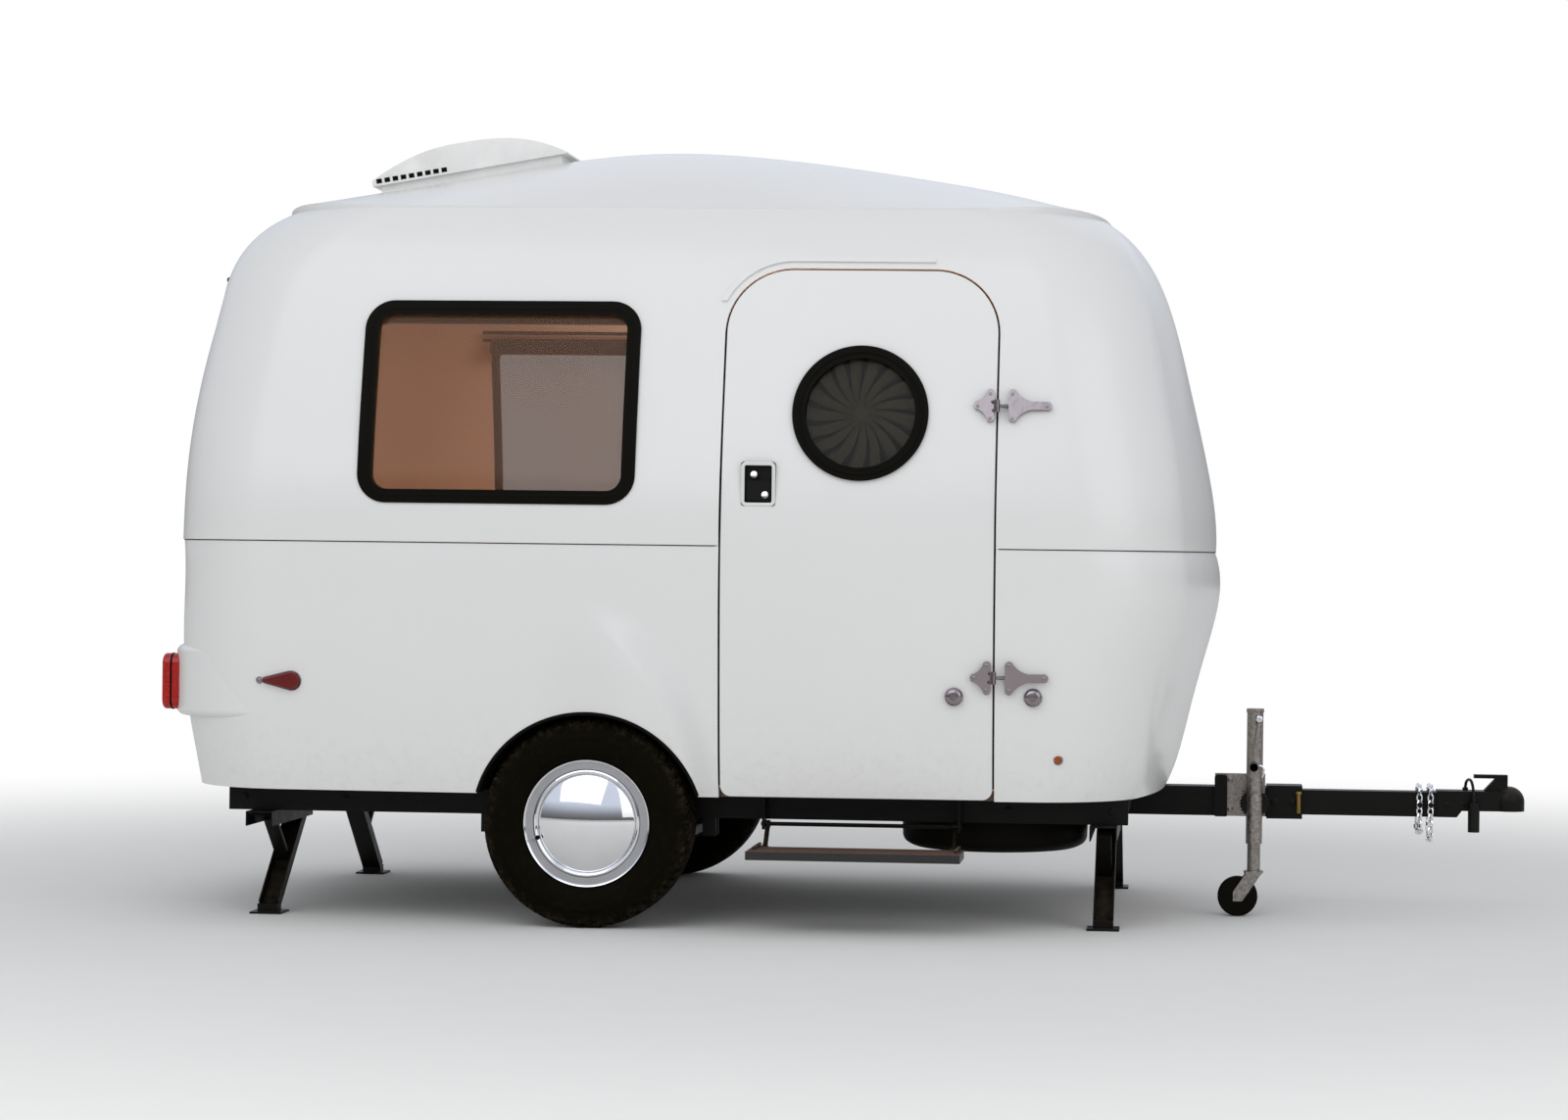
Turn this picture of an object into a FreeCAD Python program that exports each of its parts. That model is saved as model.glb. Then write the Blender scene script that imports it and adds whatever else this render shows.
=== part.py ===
import FreeCAD, Part

import math
import os

from FreeCAD import Vector

# Lengths are in millimetres. While the pieces are made, X runs forward from the
# axle, Y from the centre plane to the street side and Z up from the ground, so
# the kerb side with the door is -Y. The last step moves the origin to the
# middle of the footprint.

# Moulded body: overall sizes
BODY_FRONT = 1810.0
BODY_REAR = -1297.0
BODY_HALF_WIDTH = 965.0
SILL_Z = 386.0
BELT_Z = 1113.0
EAVES_Z = 2105.0
WALL = 30.0
BELT_STEP = 4.0
CORNER_RADIUS = 330.0
SIDE_BOW_RADIUS = 26000.0
FRONT_BOW_RADIUS = 2600.0
REAR_BOW_RADIUS = 8000.0

# Each level of the moulding: share of the height, then how far the front end,
# the rear end and the side are tucked in from their widest place at the belt
LOWER_FORM = [
    (0.00, 149.0, 52.0, 67.0),
    (0.12, 113.0, 39.0, 48.0),
    (0.36, 69.0, 12.0, 27.0),
    (0.64, 14.0, 3.0, 10.0),
    (1.00, 0.0, 0.0, 0.0),
]
UPPER_FORM = [
    (0.00, 0.0, 0.0, 0.0),
    (0.31, 39.0, 15.0, 27.0),
    (0.51, 85.0, 43.0, 67.0),
    (0.69, 130.0, 77.0, 110.0),
    (0.83, 180.0, 107.0, 160.0),
    (0.93, 242.0, 158.0, 213.0),
    (1.00, 323.0, 237.0, 265.0),
]
# The corners seen from above, larger in the top three levels
TOP_CORNER_RADII = [345.0, 385.0, 440.0]

# Raised roof: its crest along the centre line, as distance forward and height
ROOF_CREST = [
    (-1060.0, 2109.0),
    (-960.0, 2153.0),
    (-600.0, 2240.0),
    (-197.0, 2314.0),
    (81.0, 2340.0),
    (450.0, 2322.0),
    (917.0, 2257.0),
    (1289.0, 2178.0),
    (1487.0, 2109.0),
]
ROOF_SEAM_INSET = 5.0
ROOF_DEPTH = 400.0

# Moulded band across the tail, which carries the lamps
TAIL_BAND_LOW_Z = 590.0
TAIL_BAND_HIGH_Z = 800.0
TAIL_BAND_REAR = -1319.0
TAIL_BAND_ROUND = 24.0
TAIL_BAND_HALF_WIDTH = 905.0

# Door
DOOR_REAR = 389.0
DOOR_FRONT = 1173.0
DOOR_TOP_Z = 1916.0
DOOR_BOTTOM_Z = 390.0
DOOR_TOP_RADIUS = 186.0
DOOR_BOTTOM_RADIUS = 30.0
DOOR_GAP = 6.0
DOOR_INSET = 2.0
DOOR_BROW_GAP = 40.0
DOOR_BROW_WIDTH = 14.0
DOOR_BROW_HEIGHT = 7.0
DOOR_HINGE_X = 1176.0
DOOR_HINGE_LOW_Z = 744.0
DOOR_HINGE_HIGH_Z = 1521.0
DOOR_HINGE_STANDOFF = 36.0
PORTHOLE_X = 783.0
PORTHOLE_Z = 1498.0
PORTHOLE_RADIUS = 196.0
PORTHOLE_GLASS_RADIUS = 158.0
LATCH_X = 495.0
LATCH_Z = 1290.0
LATCH_WIDTH = 99.0
LATCH_HEIGHT = 127.0
LATCH_PROUD = 6.0
LATCH_RIM = 8.0
LATCH_DISH_DEPTH = 16.0
PADDLE_HALF = 34.0
LATCH_LOCK_RADIUS = 10.0
LATCH_LOCKS = [(-12.0, 27.0), (20.0, -31.0)]
CATCH_Z = 688.0
CATCH_REACH = 113.0
CATCH_RADIUS = 27.0
CATCH_HEIGHT = 22.0

# Side windows, the same on both sides
WINDOW_REAR = -676.0
WINDOW_FRONT = 138.0
WINDOW_LOW_Z = 1225.0
WINDOW_HIGH_Z = 1818.0
WINDOW_RADIUS = 85.0
FRAME_WIDTH = 40.0
FRAME_FLANGE = 18.0
FRAME_PROUD = 9.0
FRAME_DEPTH = 24.0
GLASS_THICKNESS = 5.0
GLASS_SET_BACK = 8.0
GLASS_GRIP = 8.0

# Rear hatch
HATCH_HALF_WIDTH = 640.0
HATCH_LOW_Z = 850.0
HATCH_HIGH_Z = 1905.0
HATCH_RADIUS = 150.0
HATCH_GAP = 7.0
HATCH_WINDOW_HALF_WIDTH = 500.0
HATCH_WINDOW_LOW_Z = 1240.0
HATCH_WINDOW_HIGH_Z = 1790.0
HATCH_HINGE_Y = 380.0
HATCH_HINGE_STANDOFF = 26.0
HATCH_KNUCKLE_LENGTH = 22.0
HATCH_STRAP_LOW = 70.0
HATCH_STRAP_HIGH = 60.0
HATCH_STRAP_RADIUS = 7.0
HATCH_PAD_RADIUS = 16.0
HANDLE_HEIGHT = 90.0
HANDLE_LENGTH = 140.0
HANDLE_STANDOFF = 34.0
HANDLE_RADIUS = 9.0
HATCH_LOCK_DROP = 60.0
HATCH_LOCK_RADIUS = 14.0
HATCH_LOCK_PROUD = 8.0

# Wheels
WHEEL_RADIUS = 304.0
WHEEL_Z = 304.0
WHEEL_Y = 832.5
TYRE_WIDTH = 175.0
TREAD_WIDTH = 132.0
RIM_RADIUS = 165.0
RIM_FLANGE_RADIUS = 182.0
RIM_WIDTH = 132.0
RIM_THICKNESS = 8.0
HUBCAP_RADIUS = 142.0
HUBCAP_DOME = 34.0
DRUM_RADIUS = 127.0
ARCH_RADIUS = 340.0
ARCH_Z = 284.0
LINER = 5.0
WELL_INNER_Y = 705.0

# Chassis
RAIL_Y = 675.0
RAIL_WIDTH = 50.0
RAIL_BOTTOM_Z = 311.0
RAIL_TOP_Z = 386.0
RAIL_REAR = -1110.0
RAIL_FRONT = 1560.0
TUBE_WALL = 5.0
TONGUE_SIZE = 90.0
TONGUE_REAR = -420.0
TONGUE_FRONT = 2085.0
CROSS_DEPTH = 40.0
CROSS_WIDTH = 80.0
COLLAR_LENGTH = 110.0
COLLAR_WALL = 6.0
DRAWBAR_SIZE = 76.0
DRAWBAR_FRONT = 2560.0
COUPLER_NOSE = 2770.0
COUPLER_REAR = 2500.0
COUPLER_WALL = 5.0
COUPLER_BOTTOM_Z = 323.0
COUPLER_SLOPE_X = 2620.0
COUPLER_SKIRT = 28.0
LEVER_REAR = 2614.0
LEVER_FRONT = 2717.0
LEVER_TOP_Z = 434.0
LEVER_PLATE = 11.0
LEVER_HALF_WIDTH = 16.0
LEVER_FOOT = 75.0
BALL_RADIUS = 25.9
BALL_X = 2722.0
BALL_DEPTH = 28.0

# Axle and springs
AXLE_RADIUS = 25.0
AXLE_DROP = 74.0
SPINDLE_RADIUS = 17.0
SPRING_EYE_X = 330.0
SPRING_EYE_Z = 278.0
SPRING_SAG = 82.0
SPRING_WIDTH = 44.0
LEAF_THICKNESS = 7.0

# Jack on the tongue
JACK_X = 1935.0
JACK_Y = -175.0
JACK_PIVOT_Z = 345.0
JACK_RADIUS = 25.0
JACK_TOP_Z = 635.0
JACK_FLANGE_REACH = 32.0
JACK_PLATE = 8.0
JACK_PLATE_BACK = 120.0
JACK_PLATE_FRONT = 35.0
JACK_PLATE_RISE = 42.0
JACK_TUBE_LOW_Z = 222.0
POST_RADIUS = 20.0
POST_LOW_Z = 140.0
CASTER_RADIUS = 61.0
CASTER_WIDTH = 38.0
CASTER_TRAIL = 48.0

# Corner stabilisers
STABILISER_REAR_X = -1000.0
STABILISER_FRONT_X = 1490.0
STABILISER_PIVOT_Y = 345.0
STABILISER_PIVOT_Z = 282.0
STABILISER_FOOT_Y = 645.0
STABILISER_FOOT_Z = 24.0
LEG_STOWED_ANGLE = 5.0
LEG_WIDTH = 60.0
LEG_DEPTH = 34.0
LEG_SHEET = 4.0
BRACE_WIDTH = 40.0
BRACE_THICKNESS = 12.0
FOOT_SIZE = 95.0

# Entry step
STEP_REAR = 476.0
STEP_FRONT = 1090.0
STEP_TREAD_WIDTH = 180.0
STEP_THICKNESS = 24.0
STEP_TOP_Z = 240.0
STEP_EDGE_Y = -1000.0
STEP_PIVOT_Y = -735.0
STEP_PIVOT_Z = 300.0
STEP_ARM_DROP = 65.0
STEP_ARM_OUT = 62.5

# Roof fan
FAN_REAR = -818.0
FAN_LENGTH = 617.0
FAN_HALF_WIDTH = 205.0
FAN_PITCH = 10.0
FAN_BASE_HEIGHT = 22.0

# Lamps
LAMP_Y = 700.0
LAMP_Z = 690.0
LAMP_HEIGHT = 166.0
LAMP_WIDTH = 62.0
LAMP_DEPTH = 30.0
LAMP_REAR = -1311.0
LAMP_ROUNDING = 9.0
RED_MARKER_X = -868.0
RED_MARKER_Z = 705.0
RED_MARKER_RADIUS = 26.0
RED_MARKER_LENGTH = 78.0
RED_MARKER_TIP_RADIUS = 6.5
RED_MARKER_PROUD = 14.0
RED_MARKER_ROUNDING = 5.0
AMBER_MARKER_X = 1361.0
AMBER_MARKER_Z = 510.0
AMBER_MARKER_RADIUS = 11.5
AMBER_MARKER_PROUD = 7.0
AMBER_MARKER_ROUNDING = 3.0

# Spare wheel, lying flat between the tongue and the kerb rail
SPARE_X = 1152.0
SPARE_Y = -350.0
SPARE_RADIUS = 280.0
SPARE_WIDTH = 145.0
SPARE_LOW_Z = 214.0
SPARE_HUB_HOLE = 30.0
SPARE_WEB = 8.0
SPARE_BAR_WIDTH = 60.0
SPARE_BAR_THICKNESS = 6.0
SPARE_STUD_RADIUS = 8.0
SPARE_WASHER_RADIUS = 48.0

# Clearances: a piece at rest on its seat, and a pin in its hole
SEAT_GAP = 0.3
PIN_GAP = 0.3
POST_GAP = 0.5

FAR = 3000.0
X_AXIS = Vector(1, 0, 0)
Y_AXIS = Vector(0, 1, 0)
Z_AXIS = Vector(0, 0, 1)
ORIGIN = Vector(0, 0, 0)

NODES = {}


def block(x0, x1, y0, y1, z0, z1):
    return Part.makeBox(x1 - x0, y1 - y0, z1 - z0, Vector(x0, y0, z0))


def rod(start, end, radius):
    """A round bar between two points."""
    span = Vector(*end) - Vector(*start)
    return Part.makeCylinder(radius, span.Length, Vector(*start), span)


def tube(start, end, radius, wall):
    return rod(start, end, radius).cut(rod(start, end, radius - wall))


def fuse(shapes):
    joined = shapes[0]
    if len(shapes) > 1:
        joined = joined.multiFuse(shapes[1:])
    return joined.removeSplitter()


def mirrored(shape):
    """The same piece on the other side of the centre plane."""
    return shape.mirror(ORIGIN, Y_AXIS)


def pair(shape):
    return [shape, mirrored(shape)]


def prism(points, direction):
    wire = Part.makePolygon(points + [points[0]])
    return Part.Face(wire).extrude(direction)


def rounded_frame(low, high, bottom_radius, top_radius, place, direction):
    """A prism on a rectangle with rounded corners; place maps (across, up) to a point."""
    (u0, v0), (u1, v1) = low, high
    edges = []
    corners = [
        (u1 - bottom_radius, v0 + bottom_radius, bottom_radius, -90),
        (u1 - top_radius, v1 - top_radius, top_radius, 0),
        (u0 + top_radius, v1 - top_radius, top_radius, 90),
        (u0 + bottom_radius, v0 + bottom_radius, bottom_radius, 180),
    ]
    ends = []
    for u, v, radius, start in corners:
        arc = []
        for turn in (0, 45, 90):
            angle = math.radians(start + turn)
            arc.append(place(u + radius * math.cos(angle), v + radius * math.sin(angle)))
        edges.append(Part.Arc(*arc).toShape())
        ends.append((arc[0], arc[2]))
    for i in range(4):
        edges.append(Part.makeLine(ends[i][1], ends[(i + 1) % 4][0]))
    wire = Part.Wire(Part.__sortEdges__(edges))
    return Part.Face(wire).extrude(direction)


def side_prism(x0, x1, z0, z1, bottom_radius, top_radius, grow=0.0):
    """A rounded opening seen from the kerb side, running from there to the centre plane."""
    low = (x0 - grow, z0 - grow)
    high = (x1 + grow, z1 + grow)
    return rounded_frame(
        low, high, bottom_radius + grow, top_radius + grow,
        lambda u, v: Vector(u, -FAR, v), Vector(0, FAR, 0))


def rear_prism(half_width, z0, z1, radius, grow=0.0):
    """A rounded opening seen from behind, running in from there past the axle."""
    low = (-half_width - grow, z0 - grow)
    high = (half_width + grow, z1 + grow)
    return rounded_frame(
        low, high, radius + grow, radius + grow,
        lambda u, v: Vector(-FAR, u, v), Vector(FAR, 0, 0))


def revolve_about_y(points, y0, z0, turn=360.0):
    """A ring or disc about the wheel's axis; points are (radius, distance along Y)."""
    corners = [Vector(0, y0 + y, z0 + r) for r, y in points]
    wire = Part.makePolygon(corners + [corners[0]])
    return Part.Face(wire).revolve(Vector(0, 0, z0), Y_AXIS, turn)


# Body moulding


def level(bottom, top, row, corner):
    """Height, front end, rear end, half width and corner radius of one level."""
    share, front, rear, side = row
    height = bottom + (top - bottom) * share
    return (height, BODY_FRONT - front, BODY_REAR + rear, BODY_HALF_WIDTH - side, corner)


UPPER_CORNERS = [CORNER_RADIUS] * (len(UPPER_FORM) - len(TOP_CORNER_RADII)) + TOP_CORNER_RADII
LOWER_LEVELS = [level(SILL_Z, BELT_Z, row, CORNER_RADIUS) for row in LOWER_FORM]
UPPER_LEVELS = [level(BELT_Z, EAVES_Z, row, corner) for row, corner in zip(UPPER_FORM, UPPER_CORNERS)]
ALL_LEVELS = LOWER_LEVELS + UPPER_LEVELS[1:]


def inset_levels(levels, inset):
    """The levels moved inwards, square to the side wall."""
    moved = []
    last = len(levels) - 1
    for i, (z, front, rear, half, corner) in enumerate(levels):
        below = levels[max(i - 1, 0)]
        above = levels[min(i + 1, last)]
        rise = above[0] - below[0]
        lean = below[3] - above[3]
        slope = math.hypot(rise, lean)
        across = inset * rise / slope
        down = inset * lean / slope
        moved.append((z - down, front - across, rear + across, half - across, corner - across))
    return moved


def circles_meet(first, first_radius, second, second_radius):
    """The crossing of two circles that lies on the +Y side."""
    gap = second - first
    span = gap.Length
    along = (first_radius ** 2 - second_radius ** 2 + span ** 2) / (2 * span)
    off = math.sqrt(first_radius ** 2 - along ** 2)
    unit = gap * (1 / span)
    across = Vector(-unit.y, unit.x, 0)
    crossings = [first + unit * along + across * off, first + unit * along - across * off]
    return max(crossings, key=lambda point: point.y)


def on_circle(centre, through, radius):
    ray = through - centre
    return centre + ray * (radius / ray.Length)


def half_outline(end, middle_x, half_width, bow_radius, corner):
    """Centre-line point, tangent points and corner middle of one end, on the +Y side."""
    sign = 1 if end > middle_x else -1
    side_centre = Vector(middle_x, half_width - SIDE_BOW_RADIUS, 0)
    end_centre = Vector(end - sign * bow_radius, 0, 0)
    corner_centre = circles_meet(side_centre, SIDE_BOW_RADIUS - corner, end_centre, bow_radius - corner)
    on_end = on_circle(end_centre, corner_centre, bow_radius)
    on_side = on_circle(side_centre, corner_centre, SIDE_BOW_RADIUS)
    on_corner = on_circle(corner_centre, (on_end + on_side) * 0.5, corner)
    return on_end, on_corner, on_side


def plan_outline(z, front, rear, half_width, corner):
    """Bowed sides and ends with round corners, all tangent, at one height."""
    middle = (front + rear) / 2
    front_end, front_corner, front_side = half_outline(front, middle, half_width, FRONT_BOW_RADIUS, corner)
    rear_end, rear_corner, rear_side = half_outline(rear, middle, half_width, REAR_BOW_RADIUS, corner)
    side = Vector(middle, half_width, 0)
    street = [(front_end, front_corner, front_side), (front_side, side, rear_side), (rear_side, rear_corner, rear_end)]
    flip = FreeCAD.Matrix()
    flip.A22 = -1
    rear_arc = (rear_end, Vector(rear, 0, 0), flip * rear_end)
    kerb = [tuple(flip * point for point in reversed(arc)) for arc in reversed(street)]
    front_arc = (flip * front_end, Vector(front, 0, 0), front_end)
    lift = Vector(0, 0, z)
    arcs = [Part.Arc(*(point + lift for point in arc)).toShape() for arc in street + [rear_arc] + kerb + [front_arc]]
    return Part.Wire(arcs)


def loft(levels):
    return Part.makeLoft([plan_outline(*one) for one in levels], True)


def raised_roof(inset):
    """The roof over the eaves: its crest line falls away to both sides as a parabola."""
    z, front, rear, half, corner = inset_levels(UPPER_LEVELS, inset)[-1]
    seam = ROOF_SEAM_INSET
    outline = plan_outline(z - WALL, front - seam, rear + seam, half - seam, corner)
    column = Part.Face(outline).extrude(Vector(0, 0, ROOF_DEPTH))
    sides = 8
    grid = []
    for x, crest in ROOF_CREST:
        row = []
        for j in range(sides + 1):
            across = 2 * j / sides - 1
            rise = (crest - EAVES_Z) * (1 - across ** 2)
            row.append(Vector(x, half * across, EAVES_Z + rise - inset))
        grid.append(row)
    surface = Part.BSplineSurface()
    surface.interpolate(grid)
    return column.common(surface.toShape().extrude(Vector(0, 0, -ROOF_DEPTH)))


def whole_body(inset):
    """The smooth outer form with no belt step, moved in by the inset."""
    levels = inset_levels(ALL_LEVELS, inset)
    return loft(levels).fuse(raised_roof(inset))


def reach_y(solid, x, z):
    """Half width of a solid at one place on the kerb side."""
    probe = Part.makeLine(Vector(x, -FAR, z), Vector(x, 0, z))
    return -probe.common(solid).BoundBox.YMin


def reach_rear(solid, y, z):
    """Rearmost X of a solid at one place."""
    probe = Part.makeLine(Vector(-FAR, y, z), Vector(0, y, z))
    return probe.common(solid).BoundBox.XMin


def reach_top(solid, x, y):
    probe = Part.makeLine(Vector(x, y, FAR), Vector(x, y, BELT_Z))
    return probe.common(solid).BoundBox.ZMax


outer_form = whole_body(0.0)
proud_form = whole_body(-FRAME_PROUD)
door_form = whole_body(DOOR_INSET)
inner_levels = inset_levels(ALL_LEVELS, WALL)
sill_inside = inner_levels[0]
inner_levels = [(SILL_Z - WALL,) + sill_inside[1:]] + inner_levels[1:]
cabin_space = loft(inner_levels).fuse(raised_roof(WALL))
frame_inner_form = whole_body(FRAME_DEPTH)
glass_outer_form = whole_body(GLASS_SET_BACK)
glass_inner_form = whole_body(GLASS_SET_BACK + GLASS_THICKNESS)


def belt_levels():
    """Lower levels with the small step under the belt."""
    rows = LOWER_LEVELS[:-1]
    z, front, rear, half, corner = LOWER_LEVELS[-1]
    step = BELT_STEP
    return rows + [(z, front - step, rear + step, half - step, corner - step)]


def tail_band():
    """The moulded band across the tail that stands proud of the lower body."""
    outline = plan_outline(TAIL_BAND_LOW_Z, 0, TAIL_BAND_REAR, TAIL_BAND_HALF_WIDTH, CORNER_RADIUS)
    band = Part.Face(outline).extrude(Vector(0, 0, TAIL_BAND_HIGH_Z - TAIL_BAND_LOW_Z))
    rims = [e for e in band.Edges if e.BoundBox.ZLength < 1]
    return band.makeFillet(TAIL_BAND_ROUND, rims)


door_prism = side_prism(DOOR_REAR, DOOR_FRONT, DOOR_BOTTOM_Z, DOOR_TOP_Z,
                        DOOR_BOTTOM_RADIUS, DOOR_TOP_RADIUS)
doorway = side_prism(DOOR_REAR, DOOR_FRONT, DOOR_BOTTOM_Z - 4 * WALL, DOOR_TOP_Z,
                     DOOR_BOTTOM_RADIUS, DOOR_TOP_RADIUS, DOOR_GAP)
hatch_prism = rear_prism(HATCH_HALF_WIDTH, HATCH_LOW_Z, HATCH_HIGH_Z, HATCH_RADIUS)
hatchway = rear_prism(HATCH_HALF_WIDTH, HATCH_LOW_Z, HATCH_HIGH_Z, HATCH_RADIUS, HATCH_GAP)
window_hole = side_prism(WINDOW_REAR, WINDOW_FRONT, WINDOW_LOW_Z, WINDOW_HIGH_Z,
                         WINDOW_RADIUS, WINDOW_RADIUS, -FRAME_FLANGE)


def wheel_cylinder(radius, y0, y1):
    return rod((0, y0, ARCH_Z), (0, y1, ARCH_Z), radius)


def make_shells():
    arch = wheel_cylinder(ARCH_RADIUS, WELL_INNER_Y, FAR)
    lower = loft(belt_levels())
    lower = lower.fuse(tail_band()).cut(cabin_space)
    lower = lower.cut(doorway).cut(hatchway).cut(arch).cut(mirrored(arch))
    upper = loft(UPPER_LEVELS).fuse(raised_roof(0.0)).cut(cabin_space)
    upper = upper.cut(doorway).cut(hatchway).cut(window_hole).cut(mirrored(window_hole))
    NODES["lower_shell"] = lower
    NODES["upper_shell"] = upper.fuse(door_brow()).removeSplitter()


def door_brow():
    """The raised drip moulding over the door."""
    grow = DOOR_BROW_GAP
    args = (DOOR_REAR, DOOR_FRONT, DOOR_BOTTOM_Z, DOOR_TOP_Z, DOOR_BOTTOM_RADIUS, DOOR_TOP_RADIUS)
    ring = side_prism(*args, grow).cut(side_prism(*args, grow - DOOR_BROW_WIDTH))
    above = block(DOOR_REAR - 2 * grow, DOOR_FRONT - DOOR_TOP_RADIUS, -FAR, 0,
                  DOOR_TOP_Z - DOOR_TOP_RADIUS / 2, FAR)
    skin = whole_body(-DOOR_BROW_HEIGHT).cut(whole_body(WALL / 3))
    return ring.common(above).common(skin)


def make_floor():
    inside = inset_levels(ALL_LEVELS, WALL)[0]
    slab = Part.Face(plan_outline(SILL_Z, *inside[1:])).extrude(Vector(0, 0, WALL))
    slab = slab.common(cabin_space)
    for side in pair(wheel_cylinder(ARCH_RADIUS + LINER, WELL_INNER_Y - LINER, FAR)):
        slab = slab.cut(side)
    NODES["cabin_floor"] = slab.cut(NODES["lower_shell"])


def make_wheel_wells():
    shell = wheel_cylinder(ARCH_RADIUS + LINER, WELL_INNER_Y - LINER, FAR)
    shell = shell.cut(wheel_cylinder(ARCH_RADIUS, WELL_INNER_Y, FAR))
    above = block(-FAR, FAR, 0, FAR, SILL_Z, FAR)
    well = shell.common(above).common(cabin_space)
    NODES["wheel_wells"] = Part.makeCompound(pair(well))


def framed_window(prism_args, make_prism):
    """A rubber frame that clips over the wall, and the glass in its groove."""
    outer = make_prism(*prism_args, 0.0)
    inner = make_prism(*prism_args, -FRAME_WIDTH)
    glass_edge = make_prism(*prism_args, -FRAME_WIDTH + GLASS_GRIP)
    pane = glass_edge.common(glass_outer_form.cut(glass_inner_form))
    frame = outer.cut(inner).common(proud_form.cut(frame_inner_form))
    return frame.cut(pane), pane


def make_side_windows():
    args = (WINDOW_REAR, WINDOW_FRONT, WINDOW_LOW_Z, WINDOW_HIGH_Z, WINDOW_RADIUS, WINDOW_RADIUS)
    frame, pane = framed_window(args, side_prism)
    frame = frame.cut(NODES["upper_shell"])
    NODES["side_window_frames"] = Part.makeCompound(pair(frame))
    NODES["side_window_glass"] = Part.makeCompound(pair(pane))


def disc_prism(radius):
    return rod((PORTHOLE_X, -FAR, PORTHOLE_Z), (PORTHOLE_X, 0, PORTHOLE_Z), radius)


def make_door():
    hole = disc_prism(PORTHOLE_RADIUS - FRAME_FLANGE)
    panel = door_form.cut(cabin_space).common(door_prism).cut(hole)
    panel = panel.cut(latch_case(WALL))
    NODES["door_panel"] = panel
    pane = disc_prism(PORTHOLE_GLASS_RADIUS + GLASS_GRIP)
    pane = pane.common(glass_outer_form.cut(glass_inner_form))
    ring = disc_prism(PORTHOLE_RADIUS).cut(disc_prism(PORTHOLE_GLASS_RADIUS))
    ring = ring.common(proud_form.cut(frame_inner_form)).cut(panel).cut(pane)
    NODES["door_window_ring"] = ring
    NODES["door_window_glass"] = pane


def latch_case(proud):
    """The latch's outline with round corners, from the wall's inner face out past the panel."""
    y = reach_y(door_form, LATCH_X, LATCH_Z)
    case = block(LATCH_X - LATCH_WIDTH / 2, LATCH_X + LATCH_WIDTH / 2, -y - proud, -y + WALL,
                 LATCH_Z - LATCH_HEIGHT / 2, LATCH_Z + LATCH_HEIGHT / 2)
    upright = [e for e in case.Edges if e.BoundBox.YLength > 1]
    return case.makeFillet(LATCH_RIM, upright)


def make_latch():
    y = reach_y(door_form, LATCH_X, LATCH_Z)
    floor = -y + LATCH_DISH_DEPTH
    half_width = LATCH_WIDTH / 2 - LATCH_RIM
    half_height = LATCH_HEIGHT / 2 - LATCH_RIM
    case = latch_case(LATCH_PROUD)
    dish = block(LATCH_X - half_width, LATCH_X + half_width, -y - FAR, floor,
                 LATCH_Z - half_height, LATCH_Z + half_height)
    paddle = block(LATCH_X - PADDLE_HALF, LATCH_X + PADDLE_HALF, -y + 2, floor + 1,
                   LATCH_Z - half_height + LATCH_RIM, LATCH_Z + half_height / 5)
    locks = [rod((LATCH_X + x, -y - 4, LATCH_Z + z), (LATCH_X + x, floor + 1, LATCH_Z + z), LATCH_LOCK_RADIUS)
             for x, z in LATCH_LOCKS]
    NODES["door_latch"] = fuse([case.cut(dish), paddle] + locks)


# Door hinges


HINGE_LOBE = 12.0
HINGE_SPREAD = 36.0
HINGE_PLATE = 7.0
HINGE_SAG = 0.11
DOOR_LOBE_REACH = 20.0
DOOR_TIP_REACH = 56.0
BODY_LOBE_REACH = 44.0
BODY_TIP_REACH = 144.0
BODY_TAIL = 44.0
RIDGE_TIP_RADIUS = 9.0
RIDGE_HEART_RADIUS = 14.0
KNUCKLE_RADIUS = 9.0
KNUCKLE_HALF = 6.5
DOOR_KNUCKLE = 11.0
HINGE_PIN_RADIUS = 4.5
HINGE_ARM_RADIUS = 5.5


def hinge_axis_y(z):
    """The pin line stands clear of the wall and leans between the two hinges."""
    low = reach_y(outer_form, DOOR_HINGE_X, DOOR_HINGE_LOW_Z) + DOOR_HINGE_STANDOFF
    high = reach_y(outer_form, DOOR_HINGE_X, DOOR_HINGE_HIGH_Z) + DOOR_HINGE_STANDOFF
    share = (z - DOOR_HINGE_LOW_Z) / (DOOR_HINGE_HIGH_Z - DOOR_HINGE_LOW_Z)
    return -(low + (high - low) * share)


def on_pin_line(z):
    return (DOOR_HINGE_X, hinge_axis_y(z), z)


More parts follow.
